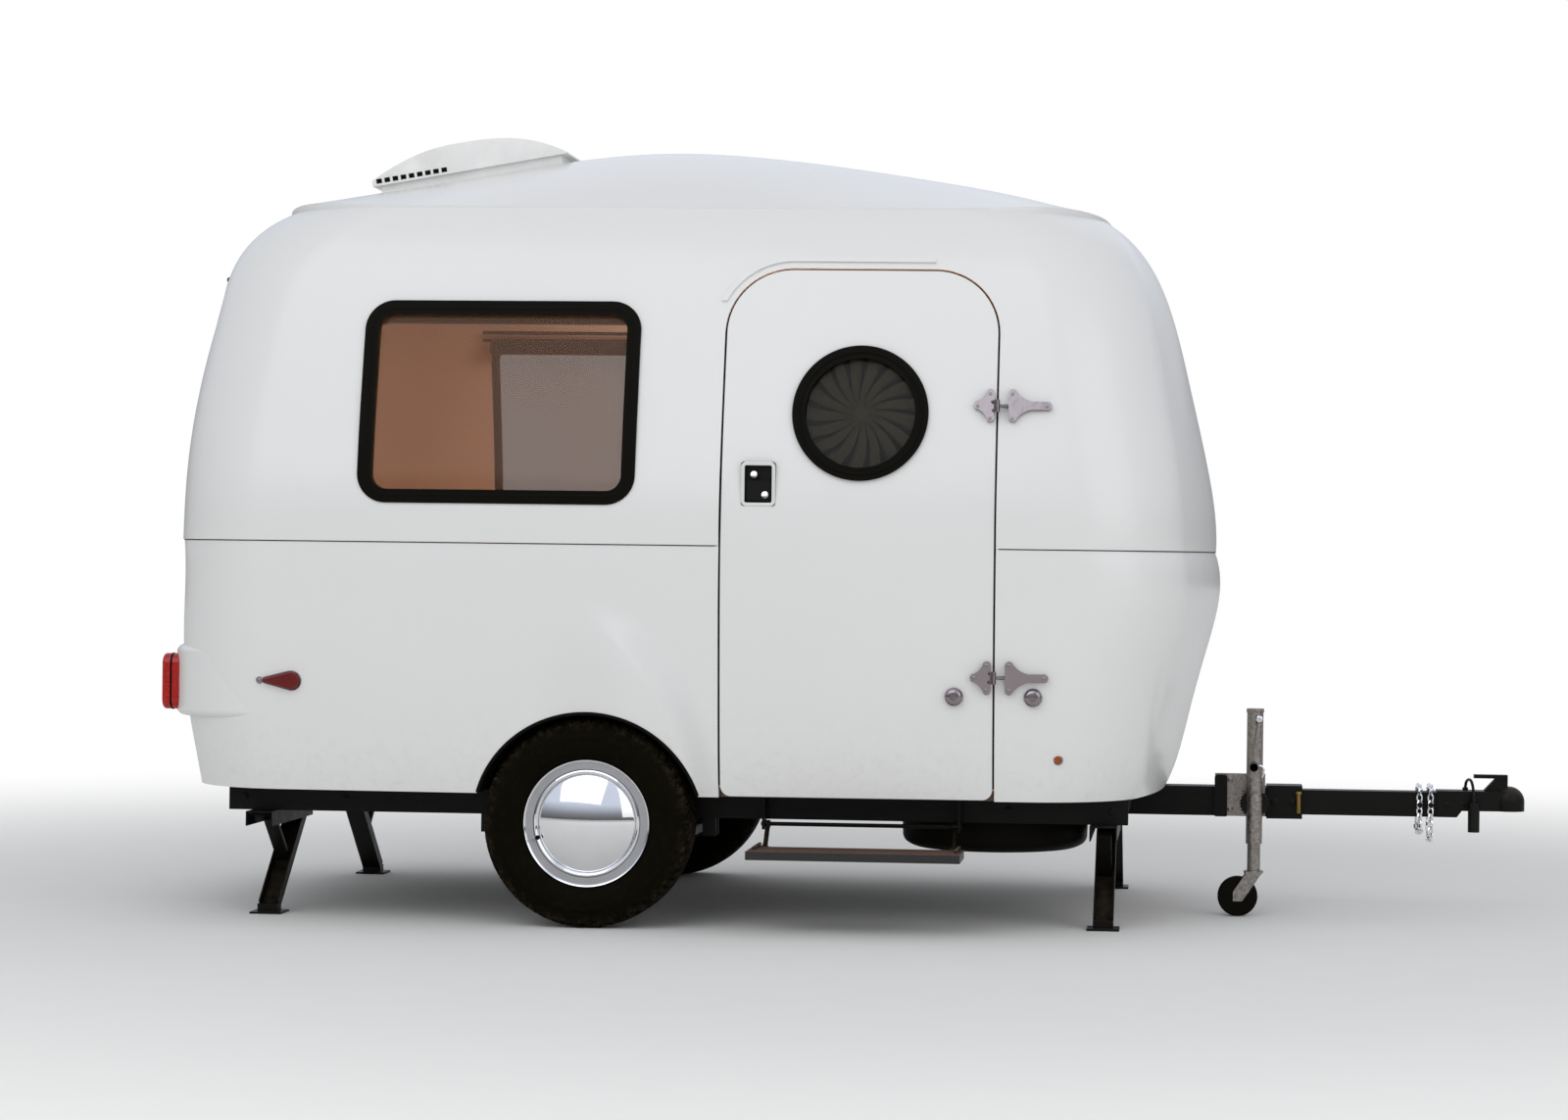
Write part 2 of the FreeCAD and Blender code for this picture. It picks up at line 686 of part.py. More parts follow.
def leaf_face(lobe, tip, tail):
    """A leaf's outline with two round lobes, hollow flanks and a round tip, drawn about the pin line."""
    side = 1 if tip > lobe else -1
    back = lobe - side * HINGE_LOBE
    lobe_top = (lobe, HINGE_SPREAD + HINGE_LOBE)
    shoulder = (lobe + side * HINGE_LOBE * 0.75, HINGE_SPREAD + HINGE_LOBE * 0.66)
    throat = (tip - side * tail, HINGE_LOBE)
    across = throat[0] - shoulder[0]
    up = throat[1] - shoulder[1]
    flank = (shoulder[0] + across / 2 + HINGE_SAG * side * up, shoulder[1] + up / 2 - HINGE_SAG * side * across)
    edges = [Part.makeLine(Vector(back, -HINGE_SPREAD, 0), Vector(back, HINGE_SPREAD, 0))]
    for half in (1, -1):
        for arc in (((back, HINGE_SPREAD), lobe_top, shoulder), (shoulder, flank, throat)):
            edges.append(Part.Arc(*[Vector(x, half * z, 0) for x, z in arc]).toShape())
        if tail:
            edges.append(Part.makeLine(Vector(throat[0], half * HINGE_LOBE, 0), Vector(tip, half * HINGE_LOBE, 0)))
    end = (Vector(tip, HINGE_LOBE, 0), Vector(tip + side * HINGE_LOBE, 0, 0), Vector(tip, -HINGE_LOBE, 0))
    edges.append(Part.Arc(*end).toShape())
    return Part.Face(Part.Wire(Part.__sortEdges__(edges)))


def hinge_leaf(z, lobe, tip, tail):
    """The plate of a leaf with a ridge down its middle, lying on the wall at three seats."""
    side = 1 if tip > lobe else -1
    seats = []
    for across, height in ((lobe, z + HINGE_SPREAD), (lobe, z - HINGE_SPREAD), (tip, z)):
        x = DOOR_HINGE_X + across
        seats.append(Vector(x, -reach_y(outer_form, x, height), height))
    heart = (seats[0] + seats[1]) / 2
    up = (seats[0] - seats[1]).normalize()
    out = (seats[2] - heart).cross(up).normalize() * side
    along = up.cross(out)
    plate = leaf_face(lobe, tip, tail).extrude(Vector(0, 0, WALL / 3 + HINGE_PLATE))
    plate.translate(Vector(0, 0, -WALL / 3))
    plate.Placement = FreeCAD.Placement(heart - along * lobe, FreeCAD.Rotation(along, up, out, "ZXY"))
    span = heart - seats[2]
    ridge = Part.makeCone(RIDGE_TIP_RADIUS, RIDGE_HEART_RADIUS, span.Length, seats[2], span)
    return [plate, ridge], heart


def make_hinges():
    door_leaves = []
    body_leaves = []
    for z in (DOOR_HINGE_LOW_Z, DOOR_HINGE_HIGH_Z):
        reach = KNUCKLE_HALF + SEAT_GAP + DOOR_KNUCKLE
        pin = rod(on_pin_line(z - reach), on_pin_line(z + reach), HINGE_PIN_RADIUS)
        hole = rod(on_pin_line(z - reach - 1), on_pin_line(z + reach + 1), HINGE_PIN_RADIUS + PIN_GAP)
        parts, heart = hinge_leaf(z, -DOOR_LOBE_REACH, -DOOR_TIP_REACH, 0)
        for end in (-1, 1):
            near = z + end * (KNUCKLE_HALF + SEAT_GAP)
            far = z + end * reach
            middle = (near + far) / 2
            parts.append(rod(on_pin_line(min(near, far)), on_pin_line(max(near, far)), KNUCKLE_RADIUS))
            parts.append(rod((heart.x, heart.y, middle), on_pin_line(middle), HINGE_ARM_RADIUS))
        door_leaves.append(fuse(parts).cut(hole))
        parts, heart = hinge_leaf(z, BODY_LOBE_REACH, BODY_TIP_REACH, BODY_TAIL)
        parts.append(rod(on_pin_line(z - KNUCKLE_HALF), on_pin_line(z + KNUCKLE_HALF), KNUCKLE_RADIUS))
        parts.append(rod(tuple(heart), on_pin_line(z), HINGE_ARM_RADIUS))
        body_leaves.append(fuse(parts + [pin]))
    for x, leaves in ((DOOR_HINGE_X - CATCH_REACH, door_leaves), (DOOR_HINGE_X + CATCH_REACH, body_leaves)):
        y = -reach_y(outer_form, x, CATCH_Z)
        dome = rod((x, y + WALL / 3, CATCH_Z), (x, y - CATCH_HEIGHT, CATCH_Z), CATCH_RADIUS)
        front = [e for e in dome.Edges if e.BoundBox.YMax < y - CATCH_HEIGHT + 1]
        leaves.append(dome.makeFillet(CATCH_HEIGHT * 0.7, front))
    lower = NODES["lower_shell"]
    upper = NODES["upper_shell"]
    door = NODES["door_panel"]
    NODES["door_hinge_leaves"] = Part.makeCompound([s.cut(door) for s in door_leaves])
    NODES["body_hinge_leaves"] = Part.makeCompound([s.cut(lower).cut(upper) for s in body_leaves])


# Rear hatch


def hatch_axis():
    """The hinge line stands just above the hatch's top edge, behind the wall."""
    z = HATCH_HIGH_Z + HATCH_GAP / 2
    x = reach_rear(outer_form, HATCH_HINGE_Y, z) - HATCH_HINGE_STANDOFF
    return x, z


def make_hatch():
    panel = door_form.cut(cabin_space).common(hatch_prism)
    panel = panel.cut(rear_prism(HATCH_WINDOW_HALF_WIDTH, HATCH_WINDOW_LOW_Z, HATCH_WINDOW_HIGH_Z,
                                 WINDOW_RADIUS, -FRAME_FLANGE))
    args = (HATCH_WINDOW_HALF_WIDTH, HATCH_WINDOW_LOW_Z, HATCH_WINDOW_HIGH_Z, WINDOW_RADIUS)
    frame, pane = framed_window(args, rear_prism)
    NODES["hatch_panel"] = panel
    NODES["hatch_window_frame"] = frame.cut(panel)
    NODES["hatch_window_glass"] = pane
    make_hatch_handle(panel)
    make_hatch_hinges(panel)


def make_hatch_handle(panel):
    """A bar on two feet, and the lock below it."""
    z = HATCH_LOW_Z + HANDLE_HEIGHT
    x = reach_rear(door_form, 0, z)
    back = x - HANDLE_STANDOFF
    half = HANDLE_LENGTH / 2
    bar = rod((back, -half, z), (back, half, z), HANDLE_RADIUS)
    feet = [rod((back, y, z), (x + WALL / 3, y, z), HANDLE_RADIUS) for y in (-half, half)]
    lock_z = z - HATCH_LOCK_DROP
    lock_x = reach_rear(door_form, 0, lock_z)
    lock = rod((lock_x - HATCH_LOCK_PROUD, 0, lock_z), (lock_x + WALL / 3, 0, lock_z), HATCH_LOCK_RADIUS)
    NODES["hatch_handle"] = Part.makeCompound([fuse([bar] + feet).cut(panel), lock.cut(panel)])


def make_hatch_hinges(panel):
    axis_x, axis_z = hatch_axis()
    hatch_leaves = []
    body_leaves = []
    reach = HATCH_KNUCKLE_LENGTH + SEAT_GAP
    for y in (-HATCH_HINGE_Y, HATCH_HINGE_Y):
        pin = rod((axis_x, y - reach, axis_z), (axis_x, y + reach, axis_z), HINGE_PIN_RADIUS)
        hole = rod((axis_x, y - reach - 1, axis_z), (axis_x, y + reach, axis_z), HINGE_PIN_RADIUS + PIN_GAP)
        for end, drop, leaves in ((-1, -HATCH_STRAP_LOW, hatch_leaves), (1, HATCH_STRAP_HIGH, body_leaves)):
            knuckle = rod((axis_x, y + end * SEAT_GAP, axis_z), (axis_x, y + end * reach, axis_z), KNUCKLE_RADIUS)
            middle = y + end * reach / 2
            seat_z = axis_z + drop
            seat_x = reach_rear(outer_form, middle, seat_z)
            strap = rod((axis_x, middle, axis_z), (seat_x, middle, seat_z), HATCH_STRAP_RADIUS)
            pad = rod((seat_x + WALL / 3, middle, seat_z), (seat_x - HINGE_PLATE, middle, seat_z), HATCH_PAD_RADIUS)
            leaves.append(fuse([knuckle, strap, pad]))
        hatch_leaves[-1] = hatch_leaves[-1].cut(hole)
        body_leaves[-1] = fuse([body_leaves[-1], pin])
    upper = NODES["upper_shell"]
    NODES["hatch_hinges"] = Part.makeCompound([s.cut(panel) for s in hatch_leaves])
    NODES["hatch_hinge_mounts"] = Part.makeCompound([s.cut(upper) for s in body_leaves])


# Chassis


def box_tube(x0, x1, y, width, z0, z1, wall):
    outer = block(x0, x1, y - width / 2, y + width / 2, z0, z1)
    inner = block(x0 - 1, x1 + 1, y - width / 2 + wall, y + width / 2 - wall, z0 + wall, z1 - wall)
    return outer.cut(inner)


def make_chassis():
    rail = box_tube(RAIL_REAR, RAIL_FRONT, RAIL_Y, RAIL_WIDTH, RAIL_BOTTOM_Z, RAIL_TOP_Z, TUBE_WALL)
    inside = RAIL_Y - RAIL_WIDTH / 2
    pieces = pair(rail)
    beside_tongue = block(TONGUE_REAR, FAR, -TONGUE_SIZE / 2, TONGUE_SIZE / 2, 0, FAR)
    for x in (RAIL_REAR, TONGUE_REAR - CROSS_WIDTH, STEP_REAR - 60, RAIL_FRONT - CROSS_WIDTH):
        member = block(x, x + CROSS_WIDTH, -inside, inside, RAIL_TOP_Z - CROSS_DEPTH, RAIL_TOP_Z)
        pieces.append(member.cut(beside_tongue))
    for y in (-1, 1):
        for x in (-SPRING_EYE_X, SPRING_EYE_X):
            for side in (-1, 1):
                plate_y = y * RAIL_Y + side * (SPRING_WIDTH / 2 + 3)
                pieces.append(block(x - 20, x + 20, plate_y - 2.5, plate_y + 2.5,
                                    SPRING_EYE_Z - 20, RAIL_BOTTOM_Z + TUBE_WALL))
    for place in step_ear_places():
        x = place[1]
        ear = block(x - STEP_EAR / 2, x + STEP_EAR / 2, STEP_PIVOT_Y - 16, -RAIL_Y - RAIL_WIDTH / 2,
                    STEP_PIVOT_Z - 16, RAIL_TOP_Z - 10)
        hole = rod((x - FAR, STEP_PIVOT_Y, STEP_PIVOT_Z), (x + FAR, STEP_PIVOT_Y, STEP_PIVOT_Z),
                   STEP_PIN_RADIUS + PIN_GAP)
        pieces.append(ear.cut(hole))
    NODES["chassis_frame"] = fuse(pieces)


def tongue_levels():
    """Bottom and top of the tongue beam, which is level with the rails."""
    return RAIL_TOP_Z - TONGUE_SIZE, RAIL_TOP_Z


def make_tongue():
    low, high = tongue_levels()
    beam = box_tube(TONGUE_REAR, TONGUE_FRONT, 0, TONGUE_SIZE, low, high, TUBE_WALL)
    collar = box_tube(TONGUE_FRONT - COLLAR_LENGTH, TONGUE_FRONT, 0, TONGUE_SIZE + 2 * COLLAR_WALL,
                      low - COLLAR_WALL, high + COLLAR_WALL, COLLAR_WALL)
    NODES["tongue_beam"] = fuse([beam, collar])
    centre = (low + high) / 2
    half = DRAWBAR_SIZE / 2
    bar = box_tube(TONGUE_FRONT - 2 * COLLAR_LENGTH, DRAWBAR_FRONT, 0, DRAWBAR_SIZE,
                   centre - half, centre + half, TUBE_WALL)
    packing = TONGUE_SIZE / 2 - TUBE_WALL
    pads = [block(TONGUE_FRONT - 40, TONGUE_FRONT - 4, -packing, packing, centre + half, high - TUBE_WALL),
            block(TONGUE_FRONT - 40, TONGUE_FRONT - 4, -packing, packing, low + TUBE_WALL, centre - half)]
    NODES["drawbar"] = fuse([bar] + pads)


def make_coupler():
    """A pressed head: a sleeve over the drawbar, tapering to a domed nose over the ball socket."""
    low, high = tongue_levels()
    centre = (low + high) / 2
    half = DRAWBAR_SIZE / 2
    outer_half = half + COUPLER_WALL
    top = centre + half + COUPLER_WALL
    bottom = COUPLER_BOTTOM_Z
    head_radius = COUPLER_NOSE - BALL_X
    neck = head_radius * 0.7
    side_view = prism([Vector(COUPLER_REAR, -outer_half, centre - half), Vector(COUPLER_REAR, -outer_half, top),
                       Vector(BALL_X, -outer_half, top), Vector(BALL_X, -outer_half, bottom),
                       Vector(DRAWBAR_FRONT + 3 * COUPLER_WALL, -outer_half, bottom),
                       Vector(DRAWBAR_FRONT, -outer_half, centre - half)], Vector(0, 2 * outer_half, 0))
    plan = prism([Vector(COUPLER_REAR, -outer_half, 0), Vector(COUPLER_SLOPE_X, -outer_half, 0),
                  Vector(BALL_X, -neck, 0), Vector(BALL_X, neck, 0),
                  Vector(COUPLER_SLOPE_X, outer_half, 0), Vector(COUPLER_REAR, outer_half, 0)], Vector(0, 0, FAR))
    spring_z = bottom + COUPLER_SKIRT
    head = rod((BALL_X, 0, bottom), (BALL_X, 0, spring_z), head_radius)
    head = head.fuse(Part.makeSphere(head_radius, Vector(BALL_X, 0, spring_z), Z_AXIS, 0, 90, 360))
    body = fuse([side_view.common(plan), head])
    hollow = block(COUPLER_REAR - 1, DRAWBAR_FRONT, -half, half, 0, centre + half)
    behind = block(DRAWBAR_FRONT, BALL_X - BALL_RADIUS - 2 * COUPLER_WALL, -neck + COUPLER_WALL,
                   neck - COUPLER_WALL, 0, top - 2 * COUPLER_WALL)
    socket = rod((BALL_X, 0, bottom - 1), (BALL_X, 0, bottom + BALL_DEPTH), BALL_RADIUS)
    dome = Part.makeSphere(BALL_RADIUS, Vector(BALL_X, 0, bottom + BALL_DEPTH))
    NODES["coupler"] = body.cut(hollow).cut(behind).cut(socket).cut(dome)
    under = LEVER_TOP_Z - LEVER_PLATE
    root = top - 1
    side = [(LEVER_REAR, under), (LEVER_REAR, LEVER_TOP_Z), (LEVER_FRONT, LEVER_TOP_Z), (LEVER_FRONT, root),
            (LEVER_FRONT - LEVER_FOOT, root), (LEVER_FRONT - LEVER_FOOT / 2, under)]
    lever = prism([Vector(x, -LEVER_HALF_WIDTH, z) for x, z in side], Vector(0, 2 * LEVER_HALF_WIDTH, 0))
    NODES["coupler_latch"] = lever.cut(NODES["coupler"])


AXLE_PLATE = 12.0
AXLE_PLATE_HALF = 38.0
AXLE_PLATE_LAP = 30.0
SPINDLE_STOP = 20.0


def make_axle():
    beam_z = WHEEL_Z - AXLE_DROP
    end_y = RAIL_Y + RAIL_WIDTH / 2
    pieces = [rod((0, -end_y, beam_z), (0, end_y, beam_z), AXLE_RADIUS)]
    for side in (-1, 1):
        low = beam_z - AXLE_PLATE_LAP
        high = WHEEL_Z + AXLE_PLATE_LAP
        plate = [(end_y, low), (end_y, high), (end_y + AXLE_PLATE, high), (end_y + AXLE_PLATE, low)]
        corners = [Vector(-AXLE_PLATE_HALF, side * y, z) for y, z in plate]
        pieces.append(prism(corners, Vector(2 * AXLE_PLATE_HALF, 0, 0)))
        pieces.append(rod((0, side * end_y, WHEEL_Z), (0, side * (WHEEL_Y - SPINDLE_STOP), WHEEL_Z),
                          SPINDLE_RADIUS))
    NODES["axle_beam"] = fuse(pieces)


def leaf(half_length, top_z_centre, y):
    """One leaf as a flat strip bent on the spring's arc."""
    radius = (SPRING_EYE_X ** 2 + SPRING_SAG ** 2) / (2 * SPRING_SAG)
    centre_z = SPRING_EYE_Z - SPRING_SAG + radius
    reach = centre_z - top_z_centre
    angle = math.degrees(math.asin(min(1.0, half_length / reach)))
    ring = Part.makeCylinder(reach + LEAF_THICKNESS, SPRING_WIDTH, Vector(0, y - SPRING_WIDTH / 2, centre_z), Y_AXIS)
    hole = Part.makeCylinder(reach, SPRING_WIDTH, Vector(0, y - SPRING_WIDTH / 2, centre_z), Y_AXIS)
    window = block(-half_length, half_length, y - FAR, y + FAR, 0, centre_z)
    return ring.cut(hole).common(window)


LEAF_HALF_LENGTHS = (SPRING_EYE_X, 240.0, 150.0)
SPRING_EYE_RADIUS = 15.0
SPRING_EYE_WALL = 7.0
SPRING_SADDLE = 8.0
SPRING_SADDLE_HALF = 30.0
SPRING_PLATE_HALF = 50.0
SPRING_PLATE_REACH = 38.0


def make_springs():
    springs = []
    beam_z = WHEEL_Z - AXLE_DROP
    top = beam_z - AXLE_RADIUS - SPRING_SADDLE
    for side in (-1, 1):
        y = side * RAIL_Y
        parts = [leaf(length, top - i * LEAF_THICKNESS, y)
                 for i, length in enumerate(LEAF_HALF_LENGTHS)]
        for x in (-SPRING_EYE_X, SPRING_EYE_X):
            eye = tube((x, y - SPRING_WIDTH / 2, SPRING_EYE_Z), (x, y + SPRING_WIDTH / 2, SPRING_EYE_Z),
                       SPRING_EYE_RADIUS, SPRING_EYE_WALL)
            parts.append(eye)
        plate_z = top - len(LEAF_HALF_LENGTHS) * LEAF_THICKNESS
        parts.append(block(-SPRING_PLATE_HALF, SPRING_PLATE_HALF, y - SPRING_PLATE_REACH, y + SPRING_PLATE_REACH,
                           plate_z - SPRING_SADDLE, plate_z + 2))
        parts.append(block(-SPRING_SADDLE_HALF, SPRING_SADDLE_HALF, y - SPRING_WIDTH / 2, y + SPRING_WIDTH / 2,
                           top - 1, top + SPRING_SADDLE))
        springs.append(fuse(parts))
    springs = [s.cut(NODES["axle_beam"]) for s in springs]
    NODES["leaf_springs"] = Part.makeCompound(springs)


# Wheels


def tyre_profile(width, tread, radius, inner):
    half = width / 2
    half_tread = tread / 2
    seat = half - 22
    shoulder = radius - 14
    side_r = inner + (radius - inner) * 0.5
    side = Part.Arc(Vector(0, -seat, inner), Vector(0, -half, side_r), Vector(0, -half_tread - 6, shoulder))
    corner = Part.Arc(Vector(0, -half_tread - 6, shoulder), Vector(0, -half_tread + 4, radius - 5),
                      Vector(0, -half_tread + 22, radius - 1))
    crown = Part.Arc(Vector(0, -half_tread + 22, radius - 1), Vector(0, 0, radius),
                     Vector(0, half_tread - 22, radius - 1))
    other = Part.Arc(Vector(0, half_tread - 22, radius - 1), Vector(0, half_tread - 4, radius - 5),
                     Vector(0, half_tread + 6, shoulder))
    far = Part.Arc(Vector(0, half_tread + 6, shoulder), Vector(0, half, side_r), Vector(0, seat, inner))
    base = Part.LineSegment(Vector(0, seat, inner), Vector(0, -seat, inner))
    edges = [c.toShape() for c in (side, corner, crown, other, far, base)]
    return Part.Face(Part.Wire(edges))


def make_wheels():
    for name, side in (("kerb", -1), ("street", 1)):
        y = side * WHEEL_Y
        centre = Vector(0, y, WHEEL_Z)
        tyre = tyre_profile(TYRE_WIDTH, TREAD_WIDTH, WHEEL_RADIUS, RIM_RADIUS)
        tyre = tyre.revolve(ORIGIN, Y_AXIS, 360)
        tyre.translate(centre)
        half = RIM_WIDTH / 2
        out = side
        ring = [(RIM_RADIUS - RIM_THICKNESS, -half), (RIM_FLANGE_RADIUS, -half),
                (RIM_FLANGE_RADIUS, -half + 5), (RIM_RADIUS, -half + 8),
                (RIM_RADIUS, half - 8), (RIM_FLANGE_RADIUS, half - 5),
                (RIM_FLANGE_RADIUS, half), (RIM_RADIUS - RIM_THICKNESS, half)]
        rim = revolve_about_y(ring, 0, 0)
        disc = [(30, 10), (60, 10), (95, 26), (RIM_RADIUS - RIM_THICKNESS, 14),
                (RIM_RADIUS - RIM_THICKNESS, 20), (95, 32), (60, 16), (30, 16)]
        disc = [(r, out * d) for r, d in disc]
        rim = rim.fuse(revolve_about_y(disc, 0, 0))
        drum_in = WHEEL_Y - (RAIL_Y + RAIL_WIDTH / 2 + AXLE_PLATE) - AXLE_PLATE / 2
        drum = [(SPINDLE_RADIUS + PIN_GAP, -out * drum_in), (DRUM_RADIUS, -out * drum_in),
                (DRUM_RADIUS, -out * 50), (70, -out * 44), (60, out * 12), (SPINDLE_RADIUS + PIN_GAP, out * 12)]
        rim = rim.fuse(revolve_about_y(drum, 0, 0))
        rim.translate(centre)
        tyre = tyre.cut(rim)
        radius = (HUBCAP_RADIUS ** 2 + HUBCAP_DOME ** 2) / (2 * HUBCAP_DOME)
        sag_centre = half - 8 + HUBCAP_DOME - radius
        ball = Part.makeSphere(radius, Vector(0, out * sag_centre, 0))
        inside = Part.makeSphere(radius - 3, Vector(0, out * sag_centre, 0))
        keep = Part.makeCylinder(HUBCAP_RADIUS, 200, Vector(0, out * (half - 9), 0), Vector(0, out, 0))
        dome = ball.cut(inside).common(keep)
        trim = [(HUBCAP_RADIUS - 3, out * (half - 10)), (RIM_RADIUS - 6, out * (half - 18)),
                (RIM_FLANGE_RADIUS + 1, out * (half + 1)), (RIM_FLANGE_RADIUS + 1, out * (half + 5)),
                (RIM_RADIUS - 8, out * (half - 10)), (HUBCAP_RADIUS - 3, out * (half - 3))]
        hubcap = fuse([dome, revolve_about_y(trim, 0, 0)])
        hubcap.translate(centre)
        hubcap = hubcap.cut(rim).cut(tyre)
        NODES[name + "_tyre"] = tyre
        NODES[name + "_rim"] = rim
        NODES[name + "_hubcap"] = hubcap


def make_spare():
    face = tyre_profile(SPARE_WIDTH, SPARE_WIDTH - 40, SPARE_RADIUS, RIM_RADIUS)
    tyre = face.revolve(ORIGIN, Y_AXIS, 360)
    web = revolve_about_y([(SPARE_HUB_HOLE, -SPARE_WEB), (RIM_RADIUS, -SPARE_WEB),
                           (RIM_RADIUS, SPARE_WEB), (SPARE_HUB_HOLE, SPARE_WEB)], 0, 0)
    wheel = tyre.fuse(web)
    wheel.rotate(ORIGIN, X_AXIS, 90)
    z = SPARE_LOW_Z + SPARE_WIDTH / 2
    wheel.translate(Vector(SPARE_X, SPARE_Y, z))
    NODES["spare_wheel"] = wheel
    inside = RAIL_Y - RAIL_WIDTH / 2
    half = SPARE_BAR_WIDTH / 2
    bar_z = SPARE_LOW_Z + SPARE_WIDTH + 2
    bar = block(SPARE_X - half, SPARE_X + half, -inside, -TONGUE_SIZE / 2, bar_z, bar_z + SPARE_BAR_THICKNESS)
    stud = rod((SPARE_X, SPARE_Y, z - SPARE_WEB - 2), (SPARE_X, SPARE_Y, bar_z + 1), SPARE_STUD_RADIUS)
    washer = rod((SPARE_X, SPARE_Y, z - 2 * SPARE_WEB), (SPARE_X, SPARE_Y, z - SPARE_WEB), SPARE_WASHER_RADIUS)
    NODES["spare_carrier"] = fuse([bar, stud, washer])


# Jack


JACK_PIPE_RADIUS = 30.0
JACK_FLANGE_RADIUS = 42.0
JACK_CAP = 30.0
CRANK_OFFSET = 12.0
CRANK_SHAFT_RADIUS = 9.0
CRANK_RADIUS = 6.0
CRANK_CLEAR = 10.0
CRANK_LENGTH = 145.0
CRANK_LEAN = 16.0
GRIP_RADIUS = 14.0
GRIP_LENGTH = 50.0
POST_LAP = 200.0
CASTER_PLATE = 8.0
CASTER_PLATE_RADIUS = 30.0
FORK_GAP = 5.0
FORK_SHEET = 4.0
FORK_HALF = 24.0
FORK_TOE = 14.0
CASTER_PIN_RADIUS = 6.0
CASTER_ROUNDING = 8.0


def make_jack():
    low, high = tongue_levels()
    face = -TONGUE_SIZE / 2
    plate = block(JACK_X - JACK_PLATE_BACK, JACK_X + JACK_PLATE_FRONT, face - JACK_PLATE, face,
                  low, high + JACK_PLATE_RISE)
    pipe = rod((JACK_X, face - JACK_PLATE, JACK_PIVOT_Z),
               (JACK_X, JACK_Y + JACK_FLANGE_REACH + SEAT_GAP, JACK_PIVOT_Z), JACK_PIPE_RADIUS)
    NODES["jack_bracket"] = fuse([plate, pipe])
    crank_z = JACK_TOP_Z - JACK_CAP
    body = rod((JACK_X, JACK_Y, JACK_TUBE_LOW_Z), (JACK_X, JACK_Y, JACK_TOP_Z), JACK_RADIUS)
    flange = rod((JACK_X, JACK_Y + JACK_FLANGE_REACH, JACK_PIVOT_Z), (JACK_X, JACK_Y, JACK_PIVOT_Z),
                 JACK_FLANGE_RADIUS)
    bore = rod((JACK_X, JACK_Y, JACK_TUBE_LOW_Z - 1), (JACK_X, JACK_Y, crank_z), POST_RADIUS + POST_GAP)
    shaft_x = JACK_X + CRANK_OFFSET
    grip_x = shaft_x - CRANK_LEAN
    grip_z = crank_z - CRANK_LENGTH
    arm_y = JACK_Y - JACK_RADIUS - CRANK_CLEAR
    shaft = rod((shaft_x, JACK_Y, crank_z), (shaft_x, arm_y - CRANK_RADIUS / 2, crank_z), CRANK_SHAFT_RADIUS)
    arm = rod((shaft_x, arm_y, crank_z), (grip_x, arm_y, grip_z), CRANK_RADIUS)
    grip = rod((grip_x, arm_y, grip_z), (grip_x, arm_y - GRIP_LENGTH, grip_z), GRIP_RADIUS)
    NODES["jack_tube"] = fuse([body, flange, shaft, arm, grip]).cut(bore)
    NODES["jack_post"] = rod((JACK_X, JACK_Y, POST_LOW_Z), (JACK_X, JACK_Y, JACK_TUBE_LOW_Z + POST_LAP),
                             POST_RADIUS)
    wheel_x = JACK_X - CASTER_TRAIL
    wheel_z = CASTER_RADIUS
    plate_low = POST_LOW_Z - CASTER_PLATE
    fork = [rod((JACK_X, JACK_Y, plate_low), (JACK_X, JACK_Y, POST_LOW_Z - SEAT_GAP), CASTER_PLATE_RADIUS)]
    for side in (-1, 1):
        y0 = JACK_Y + side * (CASTER_WIDTH / 2 + FORK_GAP)
        y1 = y0 + side * FORK_SHEET
        toe_z = wheel_z - FORK_TOE
        leg = [Vector(JACK_X + FORK_HALF, y0, plate_low), Vector(JACK_X - FORK_HALF, y0, plate_low),
               Vector(wheel_x - FORK_TOE, y0, wheel_z + FORK_TOE), Vector(wheel_x - FORK_TOE, y0, toe_z),
               Vector(wheel_x + FORK_TOE, y0, toe_z)]
        fork.append(prism(leg, Vector(0, y1 - y0, 0)))
        fork.append(block(JACK_X - FORK_HALF, JACK_X + FORK_HALF, min(y0, y1), max(y0, y1),
                          plate_low - 2, plate_low + CASTER_PLATE - 2))
    pin_reach = CASTER_WIDTH / 2 + FORK_GAP + 1.5 * FORK_SHEET
    pin = rod((wheel_x, JACK_Y - pin_reach, wheel_z), (wheel_x, JACK_Y + pin_reach, wheel_z), CASTER_PIN_RADIUS)
    NODES["caster_fork"] = fuse(fork + [pin])
    wheel = rod((wheel_x, JACK_Y - CASTER_WIDTH / 2, wheel_z), (wheel_x, JACK_Y + CASTER_WIDTH / 2, wheel_z),
                CASTER_RADIUS)
    wheel = wheel.makeFillet(CASTER_ROUNDING, [e for e in wheel.Edges if e.Length > 4 * CASTER_RADIUS])
    hole = rod((wheel_x, JACK_Y - FAR, wheel_z), (wheel_x, JACK_Y + FAR, wheel_z), CASTER_PIN_RADIUS + PIN_GAP)
    NODES["caster_wheel"] = wheel.cut(hole)


# Stabilisers


def leg_direction():
    out = STABILISER_FOOT_Y - STABILISER_PIVOT_Y
    down = STABILISER_PIVOT_Z - STABILISER_FOOT_Z
    length = math.hypot(out, down)
    return out / length, down / length, length


def swung(shape_along_y, origin, angle):
    """A piece drawn along +Y from the origin, turned down by the angle and put in place."""
    placed = shape_along_y.copy()
    placed.rotate(ORIGIN, X_AXIS, -angle)
    placed.translate(origin)
    return placed


LEG_PIN_RADIUS = 6.0
LEG_TAIL = 16.0
BRACE_TAIL = 10.0
FOOT_PLATE = 6.0
FOOT_WEB_HALF = 22.0
BASE_GAP = 6.0
BASE_SHEET = 4.0
BASE_DROP = 14.0
BASE_START = 40.0
BASE_END = 30.0
BASE_BOSS_RADIUS = 9.0
BASE_BOSS_GAP = 0.5


